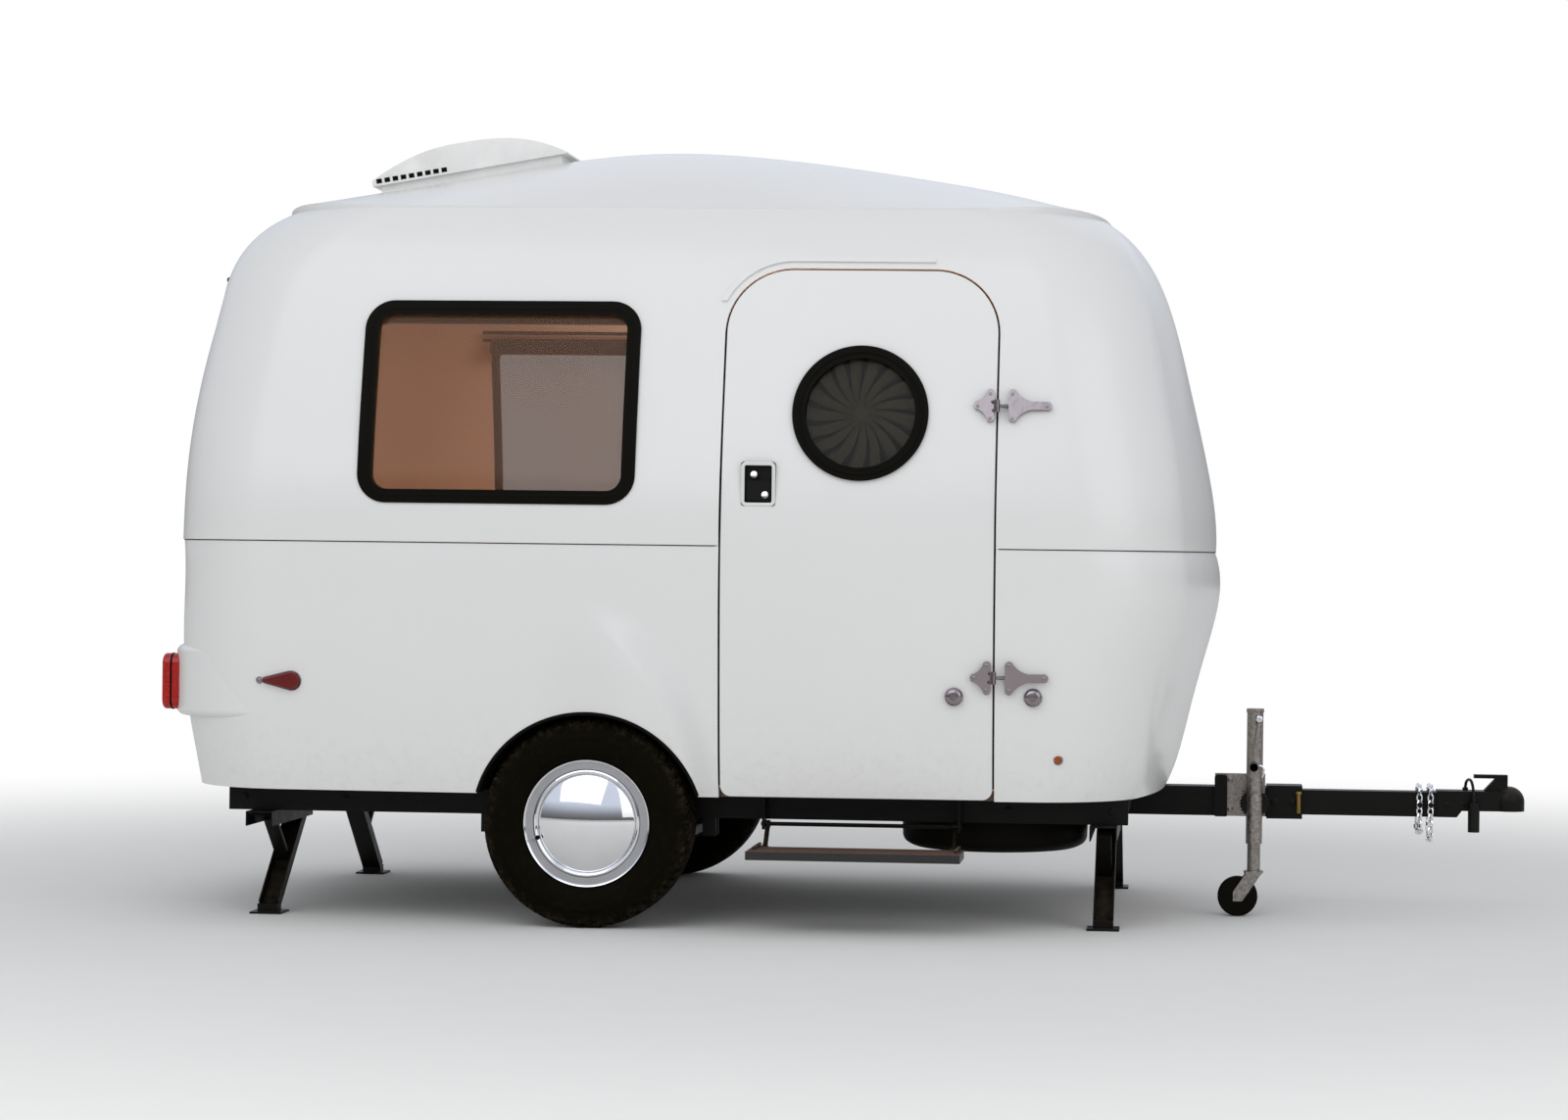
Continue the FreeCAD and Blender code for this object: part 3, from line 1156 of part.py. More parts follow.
def make_stabilisers():
    out, down, length = leg_direction()
    angle = math.degrees(math.atan2(down, out))
    half = LEG_WIDTH / 2
    channel = block(-half, half, -LEG_TAIL, length, -LEG_DEPTH / 2, LEG_DEPTH / 2)
    channel = channel.cut(block(-half + LEG_SHEET, half - LEG_SHEET, -FAR, FAR, -LEG_DEPTH / 2 + LEG_SHEET, FAR))
    pin = rod((-half, 0, 0), (half, 0, 0), LEG_PIN_RADIUS)
    knee = rod((-half, length / 2, 0), (half, length / 2, 0), LEG_PIN_RADIUS)
    leg_local = fuse([channel, pin, knee])
    brace_local = block(-BRACE_WIDTH / 2, BRACE_WIDTH / 2, -BRACE_TAIL, length / 2,
                        -BRACE_THICKNESS / 2, BRACE_THICKNESS / 2)
    brace_local = brace_local.cut(rod((-FAR, 0, 0), (FAR, 0, 0), LEG_PIN_RADIUS + PIN_GAP))
    base_half = half + BASE_GAP
    base_out = base_half + BASE_SHEET
    bases = []
    for place, x in (("rear", STABILISER_REAR_X), ("front", STABILISER_FRONT_X)):
        pivot = Vector(x, STABILISER_PIVOT_Y, STABILISER_PIVOT_Z)
        leg = swung(leg_local, pivot, angle)
        foot_y = STABILISER_FOOT_Y
        plate = block(x - FOOT_SIZE / 2, x + FOOT_SIZE / 2, foot_y - FOOT_SIZE / 2, foot_y + FOOT_SIZE / 2,
                      0, FOOT_PLATE)
        web = block(x - half, x + half, foot_y - FOOT_WEB_HALF, foot_y + FOOT_WEB_HALF,
                    FOOT_PLATE - 1, STABILISER_FOOT_Z + LEG_SHEET)
        leg = fuse([leg, plate, web])
        knee_point = pivot + Vector(0, out * length / 2, -down * length / 2)
        brace = swung(brace_local, knee_point, -angle)
        top = RAIL_BOTTOM_Z
        y0 = STABILISER_PIVOT_Y - BASE_START
        y1 = STABILISER_PIVOT_Y + length + BASE_END
        base = block(x - base_out, x + base_out, y0, y1, STABILISER_PIVOT_Z - BASE_DROP, top)
        base = base.cut(block(x - base_half, x + base_half, y0 - 1, y1 + 1, 0, top - BASE_SHEET))
        pin_hold = rod((x - base_half, STABILISER_PIVOT_Y, STABILISER_PIVOT_Z),
                       (x - half - BASE_BOSS_GAP, STABILISER_PIVOT_Y, STABILISER_PIVOT_Z), BASE_BOSS_RADIUS)
        other_hold = rod((x + half + BASE_BOSS_GAP, STABILISER_PIVOT_Y, STABILISER_PIVOT_Z),
                         (x + base_half, STABILISER_PIVOT_Y, STABILISER_PIVOT_Z), BASE_BOSS_RADIUS)
        bases += pair(fuse([base, pin_hold, other_hold]))
        NODES[place + "_street_leg"] = leg
        NODES[place + "_street_brace"] = brace
        NODES[place + "_kerb_leg"] = mirrored(leg)
        NODES[place + "_kerb_brace"] = mirrored(brace)
    NODES["stabiliser_bases"] = Part.makeCompound(bases)


# Entry step


STEP_PIN_RADIUS = 6.0
STEP_BOSS_RADIUS = 11.0
STEP_ARM_RADIUS = 7.0
STEP_ARM_HALF = 7.0
STEP_EAR = 8.0


STEP_TREAD_EAR_IN = 16.0
STEP_CHASSIS_EAR_IN = 20.0
STEP_ARM_IN = 32.0


def step_ear_places():
    """X of the tread's ears, the chassis ears and the arms at each end, from outside in."""
    ends = []
    for edge, inward in ((STEP_REAR, 1), (STEP_FRONT, -1)):
        tread_ear = edge + inward * STEP_TREAD_EAR_IN
        chassis_ear = edge + inward * STEP_CHASSIS_EAR_IN
        arm = edge + inward * STEP_ARM_IN
        ends.append((tread_ear, chassis_ear, arm, inward))
    return ends


def make_step():
    hinge_y = STEP_PIVOT_Y - STEP_ARM_OUT
    hinge_z = STEP_PIVOT_Z - STEP_ARM_DROP
    arms = []
    ears = []
    for tread_ear, chassis_ear, x, inward in step_ear_places():
        bar = rod((x, STEP_PIVOT_Y, STEP_PIVOT_Z), (x, hinge_y, hinge_z), STEP_ARM_RADIUS)
        boss = rod((x - STEP_ARM_HALF, STEP_PIVOT_Y, STEP_PIVOT_Z), (x + STEP_ARM_HALF, STEP_PIVOT_Y, STEP_PIVOT_Z),
                   STEP_BOSS_RADIUS)
        toe = rod((x - STEP_ARM_HALF, hinge_y, hinge_z), (x + STEP_ARM_HALF, hinge_y, hinge_z), STEP_BOSS_RADIUS)
        hole = rod((x - FAR, hinge_y, hinge_z), (x + FAR, hinge_y, hinge_z), STEP_PIN_RADIUS + PIN_GAP)
        arms.append(fuse([bar, boss, toe]).cut(hole))
        ears.append(block(tread_ear - STEP_EAR / 2, tread_ear + STEP_EAR / 2, STEP_EDGE_Y + 60, hinge_y + 14,
                          hinge_z - 14, hinge_z + 14))
        ears.append(rod((tread_ear, hinge_y, hinge_z), (x + inward * (STEP_ARM_HALF + 3), hinge_y, hinge_z),
                        STEP_PIN_RADIUS))
    first, last = [place[1] for place in step_ear_places()]
    shaft = rod((first - STEP_EAR, STEP_PIVOT_Y, STEP_PIVOT_Z), (last + STEP_EAR, STEP_PIVOT_Y, STEP_PIVOT_Z),
                STEP_PIN_RADIUS)
    NODES["step_arms"] = fuse(arms + [shaft])
    tread = block(STEP_REAR, STEP_FRONT, STEP_EDGE_Y, STEP_EDGE_Y + STEP_TREAD_WIDTH,
                  STEP_TOP_Z - STEP_THICKNESS, STEP_TOP_Z)
    NODES["step_tread"] = fuse([tread] + ears)


# Roof fan


def fan_local_to_roof(shape):
    shape.rotate(ORIGIN, Y_AXIS, -FAN_PITCH)
    shape.translate(Vector(FAN_REAR, 0, reach_top(outer_form, FAN_REAR, 0)))
    return shape


FAN_CREST = ((0.0, 40.0), (98.0, 81.0), (196.0, 105.0), (340.0, 110.0), (476.0, 93.0), (565.0, 59.0))
FAN_BASE_INSET = 20.0
FAN_BASE_SUNK = 60.0
FAN_FRONT_LIP = 6.0


def make_fan():
    half = FAN_HALF_WIDTH
    base = block(FAN_BASE_INSET, FAN_LENGTH - FAN_BASE_INSET, FAN_BASE_INSET - half, half - FAN_BASE_INSET,
                 -FAN_BASE_SUNK, FAN_BASE_HEIGHT)
    base = fan_local_to_roof(base).cut(outer_form)
    low = FAN_BASE_HEIGHT + SEAT_GAP
    crest = [Vector(x, 0, z) for x, z in FAN_CREST] + [Vector(FAN_LENGTH, 0, low + FAN_FRONT_LIP)]
    curve = Part.BSplineCurve()
    curve.interpolate(crest)
    rear_low = Vector(0, 0, low)
    front_low = Vector(FAN_LENGTH, 0, low)
    edges = [curve.toShape(), Part.makeLine(crest[-1], front_low), Part.makeLine(front_low, rear_low),
             Part.makeLine(rear_low, crest[0])]
    lid = Part.Face(Part.Wire(edges)).extrude(Vector(0, 2 * half, 0))
    lid.translate(Vector(0, -half, 0))
    NODES["fan_base"] = base
    NODES["fan_lid"] = fan_local_to_roof(lid)


# Lamps


def teardrop_face(x, y, z):
    """A drop lying along the wall, with its round end in front and its point to the rear."""
    tip_x = x - RED_MARKER_LENGTH
    lean = math.acos((RED_MARKER_RADIUS - RED_MARKER_TIP_RADIUS) / RED_MARKER_LENGTH)
    ends = []
    for centre, radius in ((x, RED_MARKER_RADIUS), (tip_x, RED_MARKER_TIP_RADIUS)):
        back = centre - radius * math.cos(lean)
        ends.append([Vector(back, y, z + half * radius * math.sin(lean)) for half in (1, -1)])
    (round_top, round_low), (tip_top, tip_low) = ends
    edges = [Part.Arc(round_top, Vector(x + RED_MARKER_RADIUS, y, z), round_low).toShape(),
             Part.makeLine(round_low, tip_low),
             Part.Arc(tip_low, Vector(tip_x - RED_MARKER_TIP_RADIUS, y, z), tip_top).toShape(),
             Part.makeLine(tip_top, round_top)]
    return Part.Face(Part.Wire(edges))


def make_marker(face, proud, rounding):
    """A lens raised from a face inside the wall, rounded over its front."""
    y = face.BoundBox.YMin
    lens = face.extrude(Vector(0, -proud - WALL / 3, 0))
    front = [e for e in lens.Edges if e.BoundBox.YMax < y - proud]
    lens = lens.makeFillet(rounding, front).cut(NODES["lower_shell"])
    return max(lens.Solids, key=lambda one: one.Volume)


def make_lamps():
    x = LAMP_REAR
    straight = (LAMP_HEIGHT - LAMP_WIDTH) / 2
    parts = [block(x, x + LAMP_DEPTH + WALL, LAMP_Y - LAMP_WIDTH / 2, LAMP_Y + LAMP_WIDTH / 2,
                   LAMP_Z - straight, LAMP_Z + straight)]
    for z in (LAMP_Z - straight, LAMP_Z + straight):
        parts.append(rod((x, LAMP_Y, z), (x + LAMP_DEPTH + WALL, LAMP_Y, z), LAMP_WIDTH / 2))
    lamp = fuse(parts)
    lamp = lamp.makeFillet(LAMP_ROUNDING, [e for e in lamp.Edges if e.BoundBox.XMax < x + 1])
    lamps = [s.cut(NODES["lower_shell"]) for s in pair(lamp)]
    lamps = [max(s.Solids, key=lambda one: one.Volume) for s in lamps]
    NODES["tail_lamps"] = Part.makeCompound(lamps)
    y = -reach_y(outer_form, RED_MARKER_X, RED_MARKER_Z) + WALL / 3
    red = make_marker(teardrop_face(RED_MARKER_X, y, RED_MARKER_Z), RED_MARKER_PROUD, RED_MARKER_ROUNDING)
    y = -reach_y(outer_form, AMBER_MARKER_X, AMBER_MARKER_Z) + WALL / 3
    ring = Part.Wire(Part.makeCircle(AMBER_MARKER_RADIUS, Vector(AMBER_MARKER_X, y, AMBER_MARKER_Z), Y_AXIS))
    amber = make_marker(Part.Face(ring), AMBER_MARKER_PROUD, AMBER_MARKER_ROUNDING)
    NODES["marker_lamps"] = Part.makeCompound(pair(red) + pair(amber))


# Safety chains and wiring


LINK_LENGTH = 34.0
LINK_WIDTH = 23.0
LINK_WIRE = 3.2
LINK_SIDES = 5
LINK_PITCH = 20.6
CHAIN_PLACES = [(2445.0, 34.0), (2479.0, 56.0)]
CHAIN_CLEARANCE = 13.0
CHAIN_BEND = 14.0
CHAIN_BOLT_RADIUS = 3.2
CHAIN_BOLT_HEAD = 8.0


def chain_link():
    """One closed link in the XZ plane, with flat facets."""
    straight = (LINK_LENGTH - LINK_WIDTH) / 2
    middle = LINK_WIDTH / 2 - LINK_WIRE
    rings = []
    for start, shift in ((-90, straight), (90, -straight)):
        for turn in (0, 60, 120, 180):
            a = math.radians(start + turn)
            ring = []
            for j in range(LINK_SIDES):
                b = 2 * math.pi * j / LINK_SIDES
                reach = middle + LINK_WIRE * math.cos(b)
                ring.append(Vector(shift + reach * math.cos(a), LINK_WIRE * math.sin(b), reach * math.sin(a)))
            rings.append(ring)
    faces = []
    for near, far in zip(rings, rings[1:] + rings[:1]):
        for j in range(LINK_SIDES):
            k = (j + 1) % LINK_SIDES
            for corner in ((near[j], near[k], far[k]), (near[j], far[k], far[j])):
                faces.append(Part.Face(Part.makePolygon(list(corner) + [corner[0]])))
    return Part.Solid(Part.Shell(faces))


def chain_loop(x, sag):
    """The chain's closed line round the drawbar, from the middle of its kerb side, hanging below."""
    low, high = tongue_levels()
    centre = (low + high) / 2
    half = DRAWBAR_SIZE / 2 + CHAIN_CLEARANCE
    bend = CHAIN_BEND
    corners = [(-half, half), (half, half), (half, -half - sag), (-half, -half - sag)]
    edges = []
    last = Vector(x, -half, centre)
    for i, (y, z) in enumerate(corners):
        corner = Vector(x, y, centre + z)
        after = Vector(x, corners[(i + 1) % 4][0], centre + corners[(i + 1) % 4][1])
        into = corner - last
        out = after - corner
        into.normalize()
        out.normalize()
        first = corner - into * bend
        end = corner + out * bend
        middle = corner + (out - into) * (bend * (1 - math.sqrt(0.5)))
        edges.append(Part.makeLine(last, first))
        edges.append(Part.Arc(first, middle, end).toShape())
        last = end
    edges.append(Part.makeLine(last, Vector(x, -half, centre)))
    return Part.Wire(edges)


def make_chains():
    link = chain_link()
    low, high = tongue_levels()
    centre = (low + high) / 2
    side = DRAWBAR_SIZE / 2
    links = []
    bolts = []
    for x, sag in CHAIN_PLACES:
        loop = chain_loop(x, sag)
        count = 2 * round(loop.Length / LINK_PITCH / 2)
        points = loop.discretize(Number=count + 1)[:count]
        for i, point in enumerate(points):
            along = points[(i + 1) % count] - points[i - 1]
            one = link.copy()
            one.rotate(ORIGIN, X_AXIS, 90 * (i % 2) + 45)
            turn = FreeCAD.Rotation(X_AXIS, along)
            one.Placement = FreeCAD.Placement(point, turn).multiply(one.Placement)
            links.append(one)
        head_y = -side - CHAIN_CLEARANCE - LINK_WIDTH / 2
        bolts.append(rod((x, -side + 1, centre), (x, head_y, centre), CHAIN_BOLT_RADIUS))
        bolts.append(rod((x, head_y, centre), (x, head_y - 5, centre), CHAIN_BOLT_HEAD))
    NODES["safety_chains"] = Part.makeCompound(links)
    NODES["drawbar"] = fuse([NODES["drawbar"]] + bolts)


PLUG_X = 2610.0
PLUG_RADIUS = 18.0
PLUG_LOW_Z = 260.0
PLUG_HIGH_Z = 350.0
PLUG_NECK_RADIUS = 9.0
PLUG_NECK_TOP_Z = 368.0
PLUG_HOLDER_HALF = 12.0
LEAD_RADIUS = 4.5
GLAND_PLACE = (2590.0, 24.0)
GLAND_RADIUS = 9.0
GLAND_HEIGHT = 8.0


def bent_tube(points, radius):
    """Straight runs joined by tangent arcs, each as large as its two runs allow."""
    edges = []
    start = points[0]
    for before, corner, after in zip(points, points[1:], points[2:]):
        into = corner - before
        out = after - corner
        turn = into.getAngle(out)
        tangent = 0.45 * min(into.Length, out.Length)
        bend = tangent / math.tan(turn / 2)
        into.normalize()
        out.normalize()
        first = corner - into * tangent
        last = corner + out * tangent
        inward = out - into
        inward.normalize()
        middle = corner + inward * (bend / math.cos(turn / 2) - bend)
        edges.append(Part.makeLine(start, first))
        edges.append(Part.Arc(first, middle, last).toShape())
        start = last
    edges.append(Part.makeLine(start, points[-1]))
    path = Part.Wire(edges)
    ring = Part.Wire(Part.makeCircle(radius, points[0], points[1] - points[0]))
    return path.makePipeShell([ring], True, True)


def make_wiring():
    low, high = tongue_levels()
    centre = (low + high) / 2
    face = DRAWBAR_SIZE / 2 + COUPLER_WALL
    y = -face - PLUG_RADIUS - 3
    plug = rod((PLUG_X, y, PLUG_LOW_Z), (PLUG_X, y, PLUG_HIGH_Z), PLUG_RADIUS)
    neck = rod((PLUG_X, y, PLUG_HIGH_Z - 1), (PLUG_X, y, PLUG_NECK_TOP_Z), PLUG_NECK_RADIUS)
    holder = block(PLUG_X - PLUG_HOLDER_HALF, PLUG_X + PLUG_HOLDER_HALF, y, -face,
                   centre - PLUG_HOLDER_HALF, centre)
    gland_x, gland_y = GLAND_PLACE
    seat = centre + face
    gland = rod((gland_x, gland_y, seat), (gland_x, gland_y, seat + GLAND_HEIGHT), GLAND_RADIUS)
    NODES["wiring_plug"] = Part.makeCompound([fuse([plug, neck, holder]), gland])
    route = [
        Vector(gland_x, gland_y, seat + GLAND_HEIGHT),
        Vector(gland_x + 2, gland_y - 6, seat + 26),
        Vector(gland_x + 7, gland_y - 28, seat + 35),
        Vector(gland_x + 13, y + 30, seat + 34),
        Vector(PLUG_X - 3, y + 8, seat + 18),
        Vector(PLUG_X, y, PLUG_NECK_TOP_Z),
    ]
    NODES["wiring_lead"] = bent_tube(route, LEAD_RADIUS).cut(NODES["wiring_plug"])


def export_nodes():
    """Move every piece so that the origin is the middle of the footprint, and write it."""
    os.makedirs("parts", exist_ok=True)
    middle = Vector(-(COUPLER_NOSE + TAIL_BAND_REAR) / 2, 0, 0)
    for name, shape in NODES.items():
        placed = shape.copy()
        placed.translate(middle)
        placed.exportStep("parts/" + name + ".step")


make_shells()
make_floor()
make_wheel_wells()
make_side_windows()
make_door()
make_latch()
make_hinges()
make_hatch()
make_chassis()
make_tongue()
make_coupler()
make_axle()
make_springs()
make_wheels()
make_spare()
make_jack()
make_stabilisers()
make_step()
make_fan()
make_lamps()
make_chains()
make_wiring()
export_nodes()
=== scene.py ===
"""The looks of a moulded travel caravan, laid out as a Blender add-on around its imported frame."""

import math

import bmesh
import bpy
from bpy.props import FloatProperty, FloatVectorProperty, IntProperty, PointerProperty
from mathutils import Matrix, Vector
from mathutils.bvhtree import BVHTree


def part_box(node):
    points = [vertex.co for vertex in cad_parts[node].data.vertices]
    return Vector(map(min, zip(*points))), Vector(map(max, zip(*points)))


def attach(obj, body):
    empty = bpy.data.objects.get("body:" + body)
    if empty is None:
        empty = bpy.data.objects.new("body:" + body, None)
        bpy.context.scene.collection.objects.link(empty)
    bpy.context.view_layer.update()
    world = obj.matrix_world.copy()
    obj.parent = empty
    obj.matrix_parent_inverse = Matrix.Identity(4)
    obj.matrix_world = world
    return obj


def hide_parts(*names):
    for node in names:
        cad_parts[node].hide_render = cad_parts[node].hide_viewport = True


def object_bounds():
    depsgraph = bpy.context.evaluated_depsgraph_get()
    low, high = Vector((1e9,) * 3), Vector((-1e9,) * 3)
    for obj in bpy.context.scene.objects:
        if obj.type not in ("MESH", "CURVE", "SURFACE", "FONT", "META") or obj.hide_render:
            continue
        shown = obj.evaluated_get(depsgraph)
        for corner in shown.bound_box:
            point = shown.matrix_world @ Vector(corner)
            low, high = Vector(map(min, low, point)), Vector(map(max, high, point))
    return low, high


bl_info = {
    "name": "Moulded travel caravan",
    "version": (1, 0, 0),
    "blender": (4, 5, 0),
    "location": "View3D > Sidebar > Caravan",
    "description": "Dresses the frame of a small moulded travel caravan",
    "category": "Object",
}

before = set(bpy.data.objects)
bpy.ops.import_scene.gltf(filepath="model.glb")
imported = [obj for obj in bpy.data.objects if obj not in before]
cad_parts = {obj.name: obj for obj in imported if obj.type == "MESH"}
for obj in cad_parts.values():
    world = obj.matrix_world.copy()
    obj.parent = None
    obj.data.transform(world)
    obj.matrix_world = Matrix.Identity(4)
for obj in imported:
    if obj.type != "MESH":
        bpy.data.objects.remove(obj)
cad_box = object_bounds()

KERB = -1
STREET = 1
LENGTH = {"unit": "LENGTH", "subtype": "DISTANCE"}


def middle(node):
    low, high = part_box(node)
    return (low + high) / 2


WHEEL = middle("kerb_tyre")
DOOR_LOW, DOOR_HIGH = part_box("door_panel")
HATCH_LOW, HATCH_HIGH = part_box("hatch_panel")
WINDOW_LOW, WINDOW_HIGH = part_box("side_window_frames")
REAR_WINDOW_LOW, REAR_WINDOW_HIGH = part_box("hatch_window_frame")
PORTHOLE = middle("door_window_ring")
BELT_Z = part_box("lower_shell")[1].z
SILL_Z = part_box("lower_shell")[0].z
AMBER_Z = 0.510

# The soft swelling over each wheel, drawn by the gelcoat's relief
BULGE_CENTRE = (-1.083, 0.365)
BULGE_RADIUS = 0.698
BULGE_EDGE = 0.060


class CaravanSizes(bpy.types.PropertyGroup):
    """Sizes of the dressed pieces, in metres"""

    door_top_radius: FloatProperty(name="Door top corner", description="Radius of the doorway's top corners",
                                   default=0.186, **LENGTH)
    door_low_radius: FloatProperty(name="Door low corner", description="Radius of the doorway's low corners",
                                   default=0.030, **LENGTH)
    door_gap: FloatProperty(name="Door gap", description="Gap between a door and its opening",
                            default=0.006, **LENGTH)
    hatch_radius: FloatProperty(name="Hatch corner", description="Radius of the hatch's corners",
                                default=0.150, **LENGTH)
    seal_radius: FloatProperty(name="Seal", description="Half thickness of the rubber seals",
                               default=0.0029, **LENGTH)
    seal_depth: FloatProperty(name="Seal depth", description="How far the seals lie inside the wall's face",
                              default=0.009, **LENGTH)
    seam_radius: FloatProperty(name="Belt seam", description="Half height of the joint under the belt",
                               default=0.0017, **LENGTH)
    window_radius: FloatProperty(name="Window corner", description="Radius of the windows' outer corners",
                                 default=0.085, **LENGTH)
    bead_inset: FloatProperty(name="Bead inset", description="From a window frame's edge to its locking bead",
                              default=0.024, **LENGTH)
    bead_radius: FloatProperty(name="Bead", description="Half width of the locking bead",
                               default=0.0045, **LENGTH)
    bead_depth: FloatProperty(name="Bead depth", description="How far the side windows' beads are pressed in",
                              default=0.0018, **LENGTH)
    arch_radius: FloatProperty(name="Wheel arch", description="Radius of the wheel arch",
                               default=0.340, **LENGTH)
    arch_height: FloatProperty(name="Arch centre", description="Height of the wheel arch's centre",
                               default=0.284, **LENGTH)
    edging: FloatProperty(name="Arch edging", description="Width of the rubber edging on the arch",
                          default=0.010, **LENGTH)
    tread_depth: FloatProperty(name="Tread depth", description="Depth of the tyre's grooves",
                               default=0.007, **LENGTH)
    tread_pitches: IntProperty(name="Tread pitches", description="Blocks round one tyre", default=66)
    pleats: IntProperty(name="Pleats", description="Pleats in the round window's blind", default=17)
    lining_gap: FloatProperty(name="Lining", description="How far the lining stands off the wall",
                              default=0.002, **LENGTH)


class CaravanColours(bpy.types.PropertyGroup):
    """Colours of the finishes"""

    gelcoat: FloatVectorProperty(name="Gelcoat", description="Colour of the moulded body", subtype="COLOR",
                                 default=(0.80, 0.80, 0.795))
    lining: FloatVectorProperty(name="Lining", description="Colour of the cabin's lining", subtype="COLOR",
                                default=(0.66, 0.40, 0.25))
    glass: FloatVectorProperty(name="Bronze glass", description="Tint of the windows", subtype="COLOR",
                               default=(0.130, 0.062, 0.032))
    rubber: FloatVectorProperty(name="Rubber", description="Colour of seals and frames", subtype="COLOR",
                                default=(0.005, 0.0045, 0.003))
    frame_paint: FloatVectorProperty(name="Frame paint", description="Colour of the painted steel",
                                     subtype="COLOR", default=(0.005, 0.0046, 0.0036))
    red_lens: FloatVectorProperty(name="Red lens", description="Colour of the rear lamps", subtype="COLOR",
                                  default=(0.60, 0.008, 0.004))
    drop_lens: FloatVectorProperty(name="Drop lens", description="Colour of the red drops on the sides",
                                   subtype="COLOR", default=(0.17, 0.006, 0.004))
    amber_lens: FloatVectorProperty(name="Amber lens", description="Colour of the side lamps",
                                    subtype="COLOR", default=(0.45, 0.10, 0.008))
    floor: FloatVectorProperty(name="Studio floor", description="Colour of the floor", subtype="COLOR",
                               default=(0.82, 0.82, 0.81))


class Value:
    """A socket of a material's nodes that can be written in a Python expression."""

    def __init__(self, finish, socket):
        self.finish = finish
        self.socket = socket

    def math(self, operation, *others):
        return self.finish.add("ShaderNodeMath", {"operation": operation}, dict(enumerate((self,) + others)))

    def __add__(self, other):
        return self.math("ADD", other)

    def __sub__(self, other):
        return self.math("SUBTRACT", other)

    def __mul__(self, other):
        return self.math("MULTIPLY", other)

    def __truediv__(self, other):
        return self.math("DIVIDE", other)

    def __rsub__(self, other):
        return self.finish.add("ShaderNodeMath", {"operation": "SUBTRACT"}, {0: other, 1: self})

    __radd__ = __add__
    __rmul__ = __mul__

    def between(self, low, high):
        """0 below low, 1 above high and smooth between them."""
        return self.finish.add("ShaderNodeMapRange", {"interpolation_type": "SMOOTHSTEP"},
                               {"Value": self, "From Min": low, "From Max": high})


class Finish:
    """One procedural material, or the world, built from nodes."""

    def __init__(self, name, owner=None):
        self.owner = owner or bpy.data.materials.new(name)
        self.owner.use_nodes = True
        self.nodes = self.owner.node_tree.nodes
        self.links = self.owner.node_tree.links
        self.nodes.clear()

    def add(self, kind, settings=(), inputs=(), output=0):
        """Adds one node, its settings first and then what its sockets take, and gives its output."""
        node = self.nodes.new(kind)
        for name, setting in dict(settings).items():
            if name == "stops":
                self.set_stops(node.color_ramp, setting)
            else:
                setattr(node, name, setting)
        for name, value in dict(inputs).items():
            if isinstance(value, Value):
                self.links.new(value.socket, node.inputs[name])
            else:
                node.inputs[name].default_value = value
        return Value(self, node.outputs[output]) if len(node.outputs) else node

    @staticmethod
    def set_stops(ramp, stops):
        while len(ramp.elements) < len(stops):
            ramp.elements.new(0.5)
        for element, (place, colour) in zip(ramp.elements, stops):
            element.position = place
            element.color = colour

    def place(self):
        """A point of the object in its own space."""
        return self.add("ShaderNodeTexCoord", output="Object")

    def axis(self, letter):
        return self.add("ShaderNodeSeparateXYZ", (), {"Vector": self.place()}, output=letter)

    def facing(self, letter):
        normal = self.add("ShaderNodeTexCoord", output="Normal")
        return self.add("ShaderNodeSeparateXYZ", (), {"Vector": normal}, output=letter)

    def noise(self, scale, detail=3.0, roughness=0.5):
        return self.add("ShaderNodeTexNoise", (), {"Vector": self.place(), "Scale": scale, "Detail": detail,
                                                   "Roughness": roughness}, output="Fac")

    def around(self, x, z):
        """How far a point lies ahead of, above and away from a line across the body at x and z."""
        ahead = self.axis("X") - x
        above = self.axis("Z") - z
        return ahead, above, (ahead * ahead + above * above).math("SQRT")

    def cells(self, scale, output="Distance"):
        return self.add("ShaderNodeTexVoronoi", (), {"Vector": self.place(), "Scale": scale}, output=output)

    def mix(self, share, first, second):
        return self.add("ShaderNodeMix", {"data_type": "RGBA"}, {0: share, 6: first, 7: second}, output=2)

    def bump(self, height, distance, strength=1.0, under=None):
        """A relief, laid over another one where that is given."""
        sockets = {"Height": height, "Distance": distance, "Strength": strength}
        if under is not None:
            sockets["Normal"] = under
        return self.add("ShaderNodeBump", (), sockets, output="Normal")

    def surface(self, sockets):
        """The material's own shader, with what each of its sockets takes."""
        shader = self.add("ShaderNodeBsdfPrincipled", (), sockets, output="BSDF")
        self.finish_with(shader)
        return self.owner

    def finish_with(self, shader, kind="ShaderNodeOutputMaterial"):
        self.add(kind, (), {"Surface": shader})


def rgba(colour, gain=1.0):
    return tuple(channel * gain for channel in colour) + (1.0,)


DUST = (0.23, 0.17, 0.11, 1.0)


def bulge_over_wheel(finish):
    """Height of the soft swelling over each wheel, which dies out towards the belt."""
    above, reach = finish.around(*BULGE_CENTRE)[1:]
    inside = 1.0 - reach.between(BULGE_RADIUS - BULGE_EDGE, BULGE_RADIUS + BULGE_EDGE)
    front_part = finish.axis("X").between(WHEEL.x - 0.16, WHEEL.x + 0.14)
    return inside * front_part * (1.0 - above.between(0.30, 0.66))


